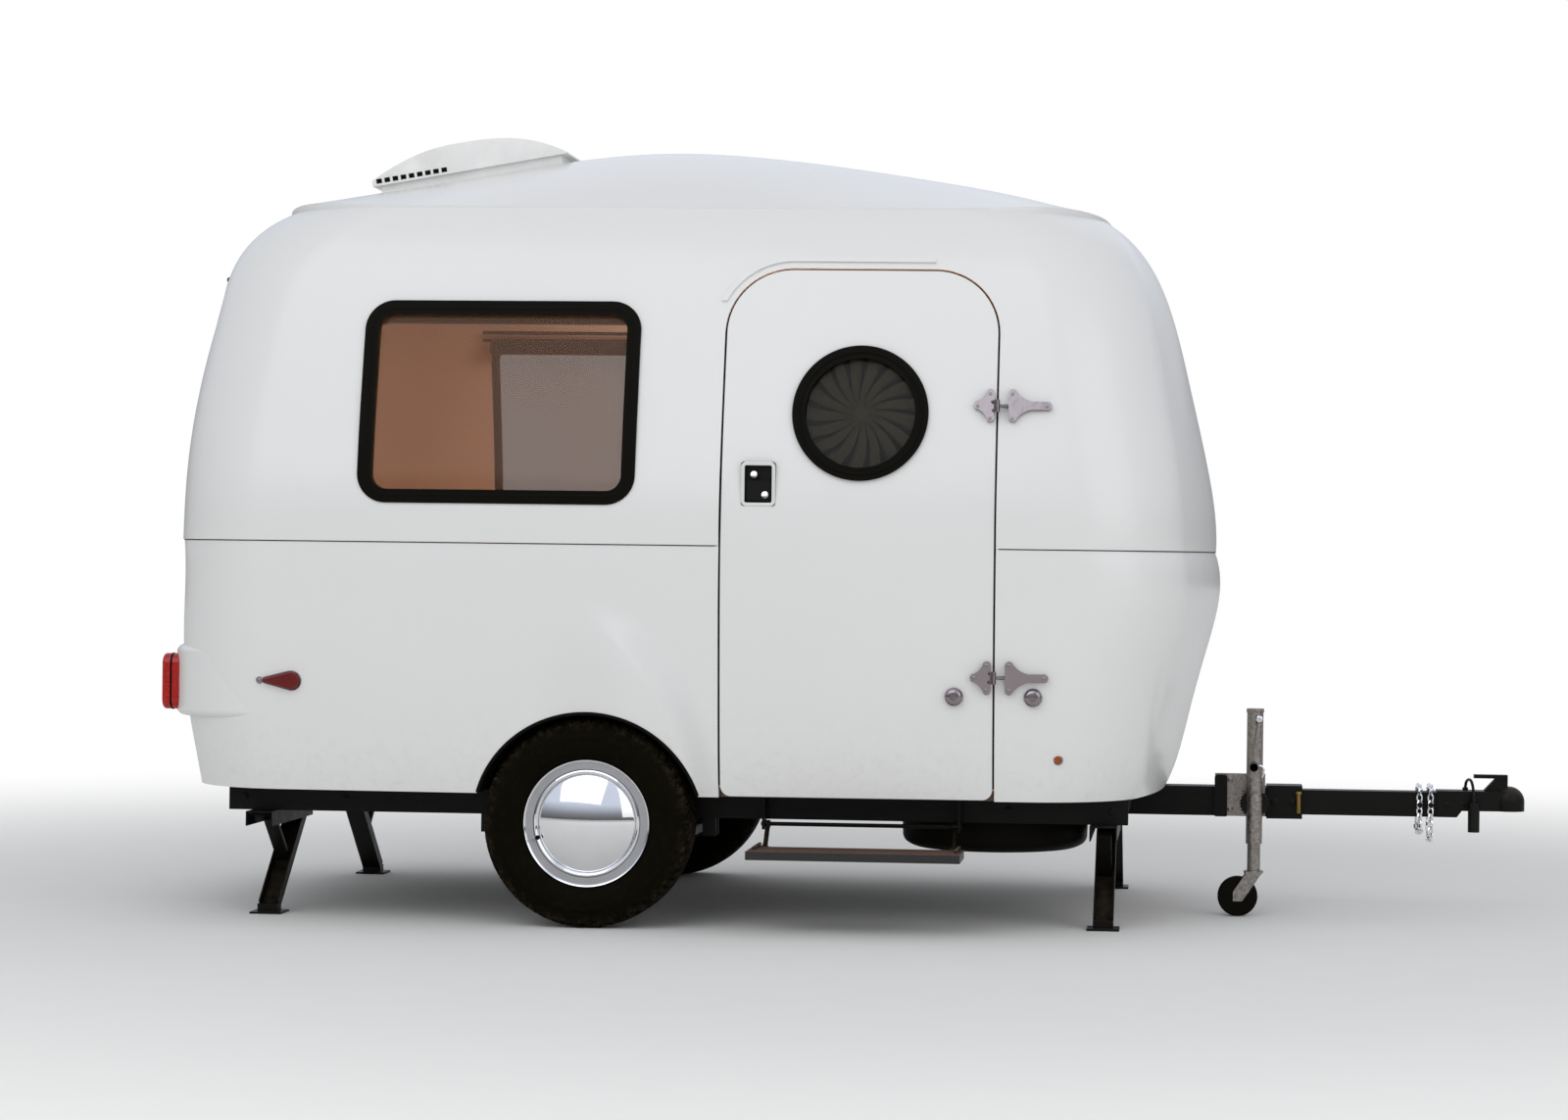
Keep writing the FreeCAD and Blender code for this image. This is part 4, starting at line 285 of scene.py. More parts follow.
def make_gelcoat(name, colour):
    """Glossy moulded glass fibre: slow waves, fine peel and a trace of dust low down."""
    finish = Finish(name)
    cloud = finish.noise(1.3, 2.0)
    base = finish.mix(cloud, rgba(colour, 0.985), rgba(colour, 1.02))
    low_down = 1.0 - finish.axis("Z").between(0.38, 0.72)
    specks = finish.noise(38.0, 6.0, 0.7).between(0.44, 0.80)
    base = finish.mix(low_down * specks * 0.10, base, DUST)
    swelling = finish.bump(bulge_over_wheel(finish), 0.050)
    waves = finish.bump(finish.noise(2.2, 1.0), 0.0022, 0.5, swelling)
    peel = finish.bump(finish.noise(420.0, 1.0), 0.00012, 0.25, waves)
    rough = finish.noise(5.0, 2.0) * 0.04 + 0.24
    return finish.surface({"Base Color": base, "Roughness": rough, "Normal": peel,
                           "Coat Weight": 0.18, "Coat Roughness": 0.08})


def make_plain(name, colour, rough, spread=0.1, grain=90.0, depth=0.0004, metal=0.0, dust=0.0, shine=0.5):
    """Moulded or painted stuff: mottled colour, uneven gloss, a fine grain and dust on what faces up."""
    finish = Finish(name)
    mottle = finish.noise(9.0, 5.0, 0.6)
    base = finish.mix(mottle, rgba(colour, 0.82), rgba(colour, 1.2))
    if dust:
        settled = finish.facing("Z").between(0.2, 0.95) * finish.noise(24.0, 6.0, 0.7).between(0.35, 0.75)
        base = finish.mix(settled * dust, base, DUST)
    roughness = finish.noise(26.0, 5.0, 0.65) * spread + (rough - spread / 2)
    relief = finish.bump(finish.noise(grain, 3.0, 0.6), depth, 0.5)
    return finish.surface({"Base Color": base, "Roughness": roughness, "Normal": relief, "Metallic": metal,
                           "Specular IOR Level": shine})


def make_frame_paint(name, colour):
    """Black painted steel with dust, and worn spots that show bare metal."""
    finish = Finish(name)
    worn = finish.noise(55.0, 8.0, 0.75).between(0.70, 0.77)
    base = finish.mix(finish.noise(7.0, 4.0), rgba(colour, 0.7), rgba(colour, 1.4))
    settled = finish.facing("Z").between(0.1, 0.9) * finish.noise(20.0, 6.0, 0.7).between(0.30, 0.72)
    base = finish.mix(settled * 0.16, base, DUST)
    base = finish.mix(worn * 0.4, base, (0.13, 0.10, 0.07, 1.0))
    roughness = finish.noise(30.0, 5.0) * 0.24 + 0.28
    relief = finish.bump(finish.noise(160.0, 3.0), 0.0003, 0.5)
    return finish.surface({"Base Color": base, "Roughness": roughness, "Metallic": worn * 0.6,
                           "Normal": relief, "Specular IOR Level": 0.13, "Coat Weight": 0.02,
                           "Coat Roughness": 0.2})


def make_zinc(name):
    """Weathered zinc plate: small crystals that differ in shade and gloss."""
    finish = Finish(name)
    crystals = finish.cells(130.0, "Color")
    shade = finish.add("ShaderNodeSeparateColor", (), {"Color": crystals}, output="Red")
    base = finish.mix(shade, (0.24, 0.215, 0.195, 1.0), (0.39, 0.36, 0.33, 1.0))
    stain = finish.noise(14.0, 6.0, 0.7).between(0.55, 0.8)
    base = finish.mix(stain * 0.35, base, (0.24, 0.20, 0.15, 1.0))
    roughness = shade * 0.14 + 0.26
    relief = finish.bump(finish.noise(240.0, 2.0), 0.0002, 0.4)
    return finish.surface({"Base Color": base, "Roughness": roughness, "Metallic": 0.95, "Normal": relief})


def make_chrome(name, colour, rough, ripple):
    """Polished plate with faint ripples and smears."""
    finish = Finish(name)
    smear = finish.noise(12.0, 5.0, 0.7)
    base = finish.mix(smear, rgba(colour, 0.94), rgba(colour, 1.04))
    roughness = smear * 0.05 + rough
    relief = finish.bump(finish.noise(34.0, 2.0), ripple, 0.4)
    return finish.surface({"Base Color": base, "Roughness": roughness, "Metallic": 1.0, "Normal": relief})


def make_tyre(name):
    """Tyre rubber: matt black, with brown dust that thickens towards the tread."""
    finish = Finish(name)
    base = finish.mix(finish.noise(11.0, 6.0, 0.65), (0.0024, 0.0020, 0.0008, 1.0),
                      (0.0056, 0.0046, 0.0018, 1.0))
    worn = finish.around(WHEEL.x, WHEEL.z)[2].between(0.262, 0.297)
    dusty = finish.noise(48.0, 7.0, 0.75).between(0.42, 0.78)
    base = finish.mix(dusty * (worn * 0.16 + 0.015), base, DUST)
    roughness = finish.noise(22.0, 5.0) * 0.2 + 0.52
    relief = finish.bump(finish.noise(210.0, 4.0), 0.00010, 0.5)
    return finish.surface({"Base Color": base, "Roughness": roughness, "Normal": relief,
                           "Specular IOR Level": 0.03})


def make_glass(name, colour, veil, smear):
    """Tinted sheet that shows the cabin behind it, with faint smears in its gloss."""
    finish = Finish(name)
    cloud = finish.noise(3.0, 4.0)
    base = finish.mix(cloud, rgba(colour, 0.85), rgba(colour, 1.15))
    roughness = finish.noise(18.0, 5.0, 0.7) * smear + 0.015
    return finish.surface({"Base Color": base, "Roughness": roughness, "Alpha": cloud * 0.06 + veil,
                           "IOR": 1.32, "Coat Weight": 0.04, "Coat Roughness": 0.01})


def make_lens(name, colours, split_x=None):
    """Moulded lens with small prisms; the side lamps turn from red to amber along the body."""
    finish = Finish(name)
    base = rgba(colours[0])
    if split_x is not None:
        base = finish.mix(finish.axis("X").between(split_x - 0.01, split_x + 0.01), rgba(colours[0]),
                          rgba(colours[1]))
    prisms = finish.cells(210.0)
    base = finish.mix(prisms.between(0.25, 0.6) * 0.5, base, (0.05, 0.002, 0.001, 1.0))
    relief = finish.bump(prisms, 0.0003, 0.5)
    roughness = finish.noise(40.0) * 0.08 + 0.10
    return finish.surface({"Base Color": base, "Roughness": roughness, "Normal": relief,
                           "Specular IOR Level": 0.35, "Coat Weight": 0.25, "Coat Roughness": 0.03})


def make_floor_board(name):
    """Vinyl planks above and dark sealer below."""
    finish = Finish(name)
    planks = finish.add("ShaderNodeTexBrick", {"offset": 0.37},
                        {"Vector": finish.place(), "Scale": 1.0, "Brick Width": 0.92, "Row Height": 0.15,
                         "Mortar Size": 0.002, "Color1": (0.36, 0.24, 0.15, 1.0),
                         "Color2": (0.29, 0.19, 0.12, 1.0), "Mortar": (0.05, 0.035, 0.025, 1.0)},
                        output="Color")
    under = 1.0 - finish.facing("Z").between(-0.2, 0.3)
    sealer = finish.mix(finish.noise(30.0, 6.0, 0.7), (0.010, 0.010, 0.010, 1.0), (0.045, 0.038, 0.030, 1.0))
    base = finish.mix(under, planks, sealer)
    relief = finish.bump(finish.noise(70.0, 5.0), 0.0008, 0.5)
    return finish.surface({"Base Color": base, "Roughness": under * 0.3 + 0.45, "Normal": relief})


def make_lining(name, colour):
    """Short woven lining on the inside of the walls."""
    finish = Finish(name)
    fibres = finish.noise(620.0, 4.0, 0.7)
    base = finish.mix(fibres, rgba(colour, 0.8), rgba(colour, 1.18))
    base = finish.mix(finish.noise(2.5, 3.0) * 0.3, base, rgba(colour, 0.8))
    relief = finish.bump(fibres, 0.0005, 0.4)
    return finish.surface({"Base Color": base, "Roughness": finish.noise(60.0) * 0.1 + 0.86,
                           "Normal": relief, "Sheen Weight": 0.3})


def make_pleats(name, count):
    """Cloth gathered to a hub, with painted shade in its folds that widens towards the rim."""
    finish = Finish(name)
    rim_radius = 0.158
    ahead, above, distance = finish.around(PORTHOLE.x, PORTHOLE.z)
    reach = distance / rim_radius
    turn = above.math("ARCTAN2", ahead) + reach * 0.3
    fold = (turn * (count / (2 * math.pi)) + finish.noise(7.0) * 0.8).math("FRACT")
    # Painted shade: the near-black mixed in below darkens the pleats' folds where shade would fall.
    dark = 1.0 - (fold / (reach * 0.36 + 0.10)).between(0.55, 1.15)
    dark = dark * reach.between(0.16, 0.30)
    base = finish.mix(finish.noise(300.0, 3.0), (0.090, 0.078, 0.048, 1.0), (0.130, 0.112, 0.070, 1.0))
    base = finish.mix(dark, base, (0.003, 0.007, 0.007, 1.0))
    relief = finish.bump(finish.noise(900.0, 3.0, 0.6), 0.0003, 0.5)
    return finish.surface({"Base Color": base, "Roughness": finish.noise(60.0) * 0.1 + 0.8, "Normal": relief})


def make_step_tread(name):
    """Dark frame with a brown non-slip top."""
    finish = Finish(name)
    top = finish.facing("Z").between(0.6, 0.9)
    grit = finish.noise(900.0, 3.0, 0.8)
    brown = finish.mix(grit, (0.075, 0.040, 0.026, 1.0), (0.19, 0.115, 0.080, 1.0))
    base = finish.mix(top, (0.018, 0.016, 0.015, 1.0), brown)
    relief = finish.bump(grit * top, 0.0012, 0.8)
    return finish.surface({"Base Color": base, "Roughness": top * 0.4 + 0.38, "Normal": relief})


NODE_FINISHES = {
    "gelcoat": ("lower_shell", "upper_shell", "door_panel", "hatch_panel"),
    "cabin_boards": ("cabin_floor",),
    "well_liner": ("wheel_wells",),
    "rubber": ("side_window_frames", "door_window_ring", "hatch_window_frame", "caster_wheel", "spare_wheel"),
    "bronze_glass": ("side_window_glass", "hatch_window_glass"),
    "dark_glass": ("door_window_glass",),
    "black_plastic": ("door_latch", "wiring_plug", "wiring_lead"),
    "cast_chrome": ("door_hinge_leaves", "body_hinge_leaves", "hatch_handle", "hatch_hinges",
                    "hatch_hinge_mounts"),
    "frame_paint": ("chassis_frame", "tongue_beam", "drawbar", "coupler", "coupler_latch", "axle_beam",
                    "leaf_springs", "rear_kerb_leg", "rear_kerb_brace", "rear_street_leg",
                    "rear_street_brace", "front_kerb_leg", "front_kerb_brace", "front_street_leg",
                    "front_street_brace", "stabiliser_bases", "step_arms", "spare_carrier"),
    "zinc_plate": ("jack_bracket", "jack_tube", "jack_post", "caster_fork"),
    "tyre_side": ("kerb_tyre", "street_tyre"),
    "wheel_paint": ("kerb_rim", "street_rim"),
    "mirror_chrome": ("kerb_hubcap", "street_hubcap", "safety_chains"),
    "fan_plastic": ("fan_base", "fan_lid"),
    "red_lens": ("tail_lamps",),
    "side_lens": ("marker_lamps",),
    "step_tread": ("step_tread",),
}


def piece(name, mesh, finish, body, smooth=True, replaced=()):
    """Turns a finished mesh into a piece that rides on its body."""
    bmesh.ops.recalc_face_normals(mesh, faces=mesh.faces)
    data = bpy.data.meshes.new(name)
    mesh.to_mesh(data)
    mesh.free()
    data.materials.append(bpy.data.materials[finish])
    if smooth:
        data.polygons.foreach_set("use_smooth", [True] * len(data.polygons))
        data.set_sharp_from_angle(angle=math.radians(38))
    made = bpy.data.objects.new(name, data)
    bpy.context.scene.collection.objects.link(made)
    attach(made, body)
    if replaced:
        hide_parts(*replaced)
    return made


def tree_of(*nodes):
    """One search tree over the meshes of several nodes."""
    points = []
    faces = []
    for node in nodes:
        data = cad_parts[node].data
        first = len(points)
        points += [vertex.co.copy() for vertex in data.vertices]
        faces += [[first + index for index in polygon.vertices] for polygon in data.polygons]
    return BVHTree.FromPolygons(points, faces)


def hit(tree, start, direction):
    place, normal = tree.ray_cast(Vector(start), Vector(direction))[:2]
    if place is None:
        raise RuntimeError(f"nothing lies along {direction} from {start}")
    if normal.dot(Vector(direction)) > 0:
        normal = -normal
    return place, normal


def side_hit(tree, x, z, side):
    return hit(tree, (x, 2.0 * side, z), (0.0, -side, 0.0))


def rear_hit(tree, y, z):
    return hit(tree, (-4.0, y, z), (1.0, 0.0, 0.0))


def round_section(across, out, steps=10, lift=0.0):
    """An oval section for a sweep: half widths across and out of the wall."""
    turns = [2 * math.pi * step / steps for step in range(steps)]
    return [(across * math.cos(turn), lift + out * math.sin(turn)) for turn in turns]


def sweep(mesh, path, section, closed):
    """Carries a section along places that each have the normal of what they lie on."""
    rings = []
    count = len(path)
    for index, (place, normal) in enumerate(path):
        before = path[index - 1][0] if closed or index else place
        after = path[(index + 1) % count][0] if closed or index < count - 1 else place
        along = (after - before).normalized()
        across = along.cross(normal).normalized()
        out = across.cross(along)
        rings.append([mesh.verts.new(place + across * wide + out * high) for wide, high in section])
    for index in range(count if closed else count - 1):
        first = rings[index]
        second = rings[(index + 1) % count]
        for here in range(len(section)):
            there = (here + 1) % len(section)
            mesh.faces.new((first[here], first[there], second[there], second[here]))
    if not closed:
        mesh.faces.new(rings[0])
        mesh.faces.new(rings[-1])


def turned(mesh, place, axis, profile, segments=20):
    """Turns a profile of (radius, height) about an axis that starts at a place."""
    axis = Vector(axis).normalized()
    side = axis.orthogonal().normalized()
    other = axis.cross(side)
    rings = []
    for radius, height in profile:
        centre = Vector(place) + axis * height
        if radius < 1e-6:
            rings.append([mesh.verts.new(centre)])
            continue
        turns = [2 * math.pi * step / segments for step in range(segments)]
        rings.append([mesh.verts.new(centre + (side * math.cos(turn) + other * math.sin(turn)) * radius)
                      for turn in turns])
    for first, second in zip(rings, rings[1:]):
        for here in range(segments):
            there = (here + 1) % segments
            corners = [first[here % len(first)], first[there % len(first)],
                       second[there % len(second)], second[here % len(second)]]
            distinct = [corner for at, corner in enumerate(corners) if corner not in corners[:at]]
            mesh.faces.new(distinct)
    for ring in (rings[0], rings[-1]):
        if len(ring) > 1:
            mesh.faces.new(ring)


def prism(mesh, first, second):
    """Joins two matching rings of places into a closed block."""
    near = [mesh.verts.new(place) for place in first]
    far = [mesh.verts.new(place) for place in second]
    for here in range(len(near)):
        there = (here + 1) % len(near)
        mesh.faces.new((near[here], near[there], far[there], far[here]))
    mesh.faces.new(near)
    mesh.faces.new(far)


def screw(mesh, place, axis, radius):
    """A pan head with a sunk drive."""
    turned(mesh, place, axis, [(radius, 0.0), (radius * 0.95, radius * 0.4), (radius * 0.62, radius * 0.62),
                               (radius * 0.34, radius * 0.66), (radius * 0.30, radius * 0.3),
                               (0.0, radius * 0.3)], 16)


def bolt(mesh, place, axis, radius):
    """A hexagon head on a washer."""
    washer = radius * 0.22
    axis = Vector(axis).normalized()
    turned(mesh, place, axis, [(radius * 1.5, 0.0), (radius * 1.5, washer * 0.8), (radius * 1.42, washer),
                               (0.0, washer)], 20)
    turned(mesh, Vector(place) + axis * washer, axis, [(radius, 0.0), (radius, radius * 0.55),
                                                       (radius * 0.86, radius * 0.68),
                                                       (0.0, radius * 0.68)], 6)


def rounded_outline(low, high, low_radius, high_radius, spacing=0.02):
    """Evenly spaced places round a rectangle whose low and high corners have their own radii."""
    (x0, z0), (x1, z1) = low, high
    corners = [(x1 - low_radius, z0 + low_radius, low_radius, -90),
               (x1 - high_radius, z1 - high_radius, high_radius, 0),
               (x0 + high_radius, z1 - high_radius, high_radius, 90),
               (x0 + low_radius, z0 + low_radius, low_radius, 180)]
    turns = 12
    rough = []
    for x, z, radius, start in corners:
        for step in range(turns + 1):
            turn = math.radians(start + 90 * step / turns)
            rough.append(Vector((x + radius * math.cos(turn), z + radius * math.sin(turn))))
    places = []
    for here, there in zip(rough, rough[1:] + rough[:1]):
        pieces = max(1, math.ceil((there - here).length / spacing))
        places += [here.lerp(there, step / pieces) for step in range(pieces)]
    return places


def outward(places, distance):
    """Every place of an anticlockwise outline, moved out of it by a distance."""
    moved = []
    for at, place in enumerate(places):
        along = (places[(at + 1) % len(places)] - places[at - 1]).normalized()
        moved.append(place + Vector((along.y, -along.x)) * distance)
    return moved


def laid_on_side(tree, outline, side, probe_outline=None, depth=0.0):
    """Places of an outline on a side wall, each with the wall's normal."""
    probes = probe_outline or outline
    path = []
    for place, probe in zip(outline, probes):
        found, normal = side_hit(tree, probe.x, probe.y, side)
        path.append((Vector((place.x, found.y, place.y)) - normal * depth, normal))
    return path


def laid_on_rear(tree, outline, probe_outline=None, depth=0.0):
    probes = probe_outline or outline
    path = []
    for place, probe in zip(outline, probes):
        found, normal = rear_hit(tree, probe.x, probe.y)
        path.append((Vector((found.x, place.x, place.y)) - normal * depth, normal))
    return path


def grown(low, high, amount):
    return (low[0] - amount, low[1] - amount), (high[0] + amount, high[1] + amount)


class CARAVAN_OT_finishes(bpy.types.Operator):
    """Build every material and give the frame's nodes theirs"""

    bl_idname = "caravan.finishes"
    bl_label = "Finishes"

    def execute(self, context):
        colours = context.scene.caravan_colours
        side_split = middle("marker_lamps").x
        make_gelcoat("gelcoat", colours.gelcoat)
        make_floor_board("cabin_boards")
        make_plain("well_liner", (0.008, 0.006, 0.005), 0.75, grain=60.0, depth=0.0015, shine=0.2)
        make_plain("rubber", colours.rubber, 0.42, spread=0.15, grain=300.0, depth=0.00005, dust=0.02,
                   shine=0.04)
        make_glass("bronze_glass", colours.glass, 0.40, 0.03)
        make_glass("dark_glass", (0.012, 0.010, 0.006), 0.30, 0.05)
        make_plain("black_plastic", (0.005, 0.0045, 0.0035), 0.36, spread=0.12, grain=500.0, depth=0.0001,
                   shine=0.2)
        make_plain("yellow_zinc", (0.26, 0.17, 0.045), 0.40, spread=0.2, grain=200.0, metal=0.8)
        # The cast chrome's dim mauve tone is partly painted reflection, standing in for darker surroundings
        # mirrored in the polished plates.
        make_chrome("cast_chrome", (0.31, 0.27, 0.28), 0.12, 0.0012)
        make_frame_paint("frame_paint", colours.frame_paint)
        make_zinc("zinc_plate")
        make_tyre("tyre_side")
        make_plain("wheel_paint", (0.42, 0.42, 0.43), 0.35, metal=0.6, dust=0.2)
        make_chrome("mirror_chrome", (0.86, 0.86, 0.87), 0.02, 0.0001)
        make_plain("fan_plastic", (0.86, 0.86, 0.85), 0.42, spread=0.08, grain=260.0, depth=0.0002)
        make_lens("red_lens", [colours.red_lens])
        make_lens("side_lens", [colours.drop_lens, colours.amber_lens], side_split)
        make_step_tread("step_tread")
        make_lining("lining", colours.lining)
        # The belt seam's dark colour is partly the joint's own and partly painted shadow under the upper
        # shell's lip.
        make_plain("seam", (0.050, 0.022, 0.026), 0.6, grain=400.0, depth=0.0001)
        make_pleats("pleated_cloth", context.scene.caravan_sizes.pleats)
        make_plain("white_plastic", (0.72, 0.72, 0.71), 0.4, spread=0.08, grain=320.0, depth=0.0001)
        for finish, nodes in NODE_FINISHES.items():
            for node in nodes:
                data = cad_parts[node].data
                data.materials.clear()
                data.materials.append(bpy.data.materials[finish])
        return {"FINISHED"}


class CARAVAN_OT_seals(bpy.types.Operator):
    """Lay the rubber seals in the gaps of the door and the hatch"""

    bl_idname = "caravan.seals"
    bl_label = "Door and hatch seals"

    def execute(self, context):
        sizes = context.scene.caravan_sizes
        shells = tree_of("lower_shell", "upper_shell")
        section = round_section(sizes.seal_radius, sizes.seal_radius * 2.0)
        grow = sizes.door_gap / 2
        reach = sizes.door_gap
        corners = (DOOR_LOW.x, DOOR_LOW.z), (DOOR_HIGH.x, DOOR_HIGH.z)
        places = rounded_outline(*grown(*corners, grow), sizes.door_low_radius + grow,
                                 sizes.door_top_radius + grow)
        lowest = DOOR_LOW.z + sizes.door_low_radius
        pairs = [pair for pair in zip(places, outward(places, reach)) if pair[0].y > lowest]
        places, probes = zip(*pairs)
        mesh = bmesh.new()
        sweep(mesh, laid_on_side(shells, places, KERB, probes, sizes.seal_depth), section, False)
        piece("door_seal", mesh, "rubber", "trailer")
        corners = (HATCH_LOW.y, HATCH_LOW.z), (HATCH_HIGH.y, HATCH_HIGH.z)
        radius = sizes.hatch_radius + grow
        places = rounded_outline(*grown(*corners, grow), radius, radius)
        mesh = bmesh.new()
        sweep(mesh, laid_on_rear(shells, places, outward(places, reach), sizes.seal_depth), section, True)
        piece("hatch_seal", mesh, "rubber", "trailer")
        return {"FINISHED"}


class CARAVAN_OT_belt(bpy.types.Operator):
    """Run the dark joint under the belt round the body, its darkness partly painted shadow under the upper
    shell's lip, open at the door and the hatch
    """

    bl_idname = "caravan.belt"
    bl_label = "Belt joint"
    steps = 720

    def execute(self, context):
        sizes = context.scene.caravan_sizes
        tree = tree_of("lower_shell")
        probe_z = BELT_Z - 0.006
        seam_z = BELT_Z - sizes.seam_radius
        centre = Vector(((cad_box[0].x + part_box("lower_shell")[1].x) / 2, 0.0, probe_z))
        margin = sizes.door_gap + 0.002
        runs = [[]]
        for step in range(self.steps):
            turn = 2 * math.pi * step / self.steps
            ray = Vector((math.cos(turn), math.sin(turn), 0.0))
            place, normal = hit(tree, centre + ray * 3, -ray)
            at_door = ray.y < 0 and DOOR_LOW.x - margin < place.x < DOOR_HIGH.x + margin
            at_hatch = ray.x < 0 and HATCH_LOW.y - margin < place.y < HATCH_HIGH.y + margin
            if at_door or at_hatch or normal.dot(ray) < 0.2:
                if runs[-1]:
                    runs.append([])
                continue
            runs[-1].append((Vector((place.x, place.y, seam_z)), normal))
        if len(runs) > 1 and runs[0] and runs[-1]:
            runs[0] = runs.pop() + runs[0]
        mesh = bmesh.new()
        section = round_section(sizes.seam_radius, sizes.seam_radius * 1.2)
        for run in runs:
            if len(run) > 2:
                sweep(mesh, run, section, False)
        piece("belt_joint", mesh, "seam", "trailer")
        return {"FINISHED"}


class CARAVAN_OT_beads(bpy.types.Operator):
    """Press the locking beads into the window frames"""

    bl_idname = "caravan.beads"
    bl_label = "Window beads"

    def execute(self, context):
        sizes = context.scene.caravan_sizes
        section = round_section(sizes.bead_radius, sizes.bead_radius * 0.7)
        inset = -sizes.bead_inset
        radius = sizes.window_radius - sizes.bead_inset
        tree = tree_of("side_window_frames")
        corners = (WINDOW_LOW.x, WINDOW_LOW.z), (WINDOW_HIGH.x, WINDOW_HIGH.z)
        mesh = bmesh.new()
        for side in (KERB, STREET):
            places = rounded_outline(*grown(*corners, inset), radius, radius)
            sweep(mesh, laid_on_side(tree, places, side, depth=sizes.bead_depth), section, True)
        piece("side_window_beads", mesh, "rubber", "trailer")
        mesh = bmesh.new()
        corners = (REAR_WINDOW_LOW.y, REAR_WINDOW_LOW.z), (REAR_WINDOW_HIGH.y, REAR_WINDOW_HIGH.z)
        places = rounded_outline(*grown(*corners, inset), radius, radius)
        sweep(mesh, laid_on_rear(tree_of("hatch_window_frame"), places), section, True)
        piece("hatch_window_bead", mesh, "rubber", "hatch")
        mesh = bmesh.new()
        ring_low, ring_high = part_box("door_window_ring")
        bead = (ring_high.x - ring_low.x) / 2 - sizes.bead_inset * 0.8
        tree = tree_of("door_window_ring")
        turns = [2 * math.pi * step / 96 for step in range(96)]
        places = [Vector((PORTHOLE.x + bead * math.cos(turn), PORTHOLE.z + bead * math.sin(turn)))
                  for turn in turns]
        sweep(mesh, laid_on_side(tree, places, KERB), section, True)
        piece("porthole_bead", mesh, "rubber", "door")
        return {"FINISHED"}


class CARAVAN_OT_porthole(bpy.types.Operator):
    """Hang the pleated blind behind the round window"""

    bl_idname = "caravan.porthole"
    bl_label = "Pleated round blind"

    def execute(self, context):
        sizes = context.scene.caravan_sizes
        low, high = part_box("door_window_glass")
        outer = (high.x - low.x) / 2 + 0.003
        inner = outer * 0.10
        depth = 0.006
        behind_glass = 0.012
        glass = tree_of("door_window_glass")
        reach = outer * 0.7
        right, left, top, foot = [hit(glass, (PORTHOLE.x + dx, 0.0, PORTHOLE.z + dz), (0.0, -1.0, 0.0))[0]
                                  for dx, dz in ((reach, 0.0), (-reach, 0.0), (0.0, reach), (0.0, -reach))]
        across = (right - left).normalized()
        up = (top - foot).normalized()
        axis = across.cross(up).normalized()
        back = (right + left + top + foot) / 4 - axis * behind_glass
        swirl = 0.10
        mesh = bmesh.new()
        spokes = []
        for step in range(sizes.pleats * 2):
            fold = 1 if step % 2 else -1
            row = []
            for share in (0.0, 0.35, 0.7, 1.0):
                radius = inner + (outer - inner) * share
                turn = math.pi * step / sizes.pleats + swirl * share
                lift = fold * depth * (0.35 + 0.65 * share)
                row.append(mesh.verts.new(back + (across * math.cos(turn) + up * math.sin(turn)) * radius
                                          + axis * lift))
            spokes.append(row)
        for here, there in zip(spokes, spokes[1:] + spokes[:1]):
            for at in range(len(here) - 1):
                mesh.faces.new((here[at], here[at + 1], there[at + 1], there[at]))
        turned(mesh, back, axis, [(inner * 1.3, 0.0), (inner * 1.3, depth * 0.8), (inner * 0.9, depth * 1.2),
                                  (0.0, depth * 1.3)], 24)
        piece("porthole_blind", mesh, "pleated_cloth", "door", smooth=False)
        return {"FINISHED"}


def lining_from(node, body, name, gap):
    """A thin lining over the faces of a wall that look into the cabin."""
    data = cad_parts[node].data
    low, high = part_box("cabin_floor")
    mesh = bmesh.new()
    made = {}
    for polygon in data.polygons:
        centre = polygon.center
        heart = Vector((min(max(centre.x, low.x + 0.8), high.x - 0.8), 0.0, min(max(centre.z, 1.0), 1.7)))
        inward = (heart - centre).normalized()
        if polygon.normal.dot(inward) < 0.55 or (heart - centre).length < 0.3:
            continue
        corners = []
        for index in polygon.vertices:
            if index not in made:
                point = data.vertices[index].co
                made[index] = mesh.verts.new(point + (heart - point).normalized() * gap)
            corners.append(made[index])
        if len(set(corners)) == len(corners):
            mesh.faces.new(corners)
    return piece(name, mesh, "lining", body)


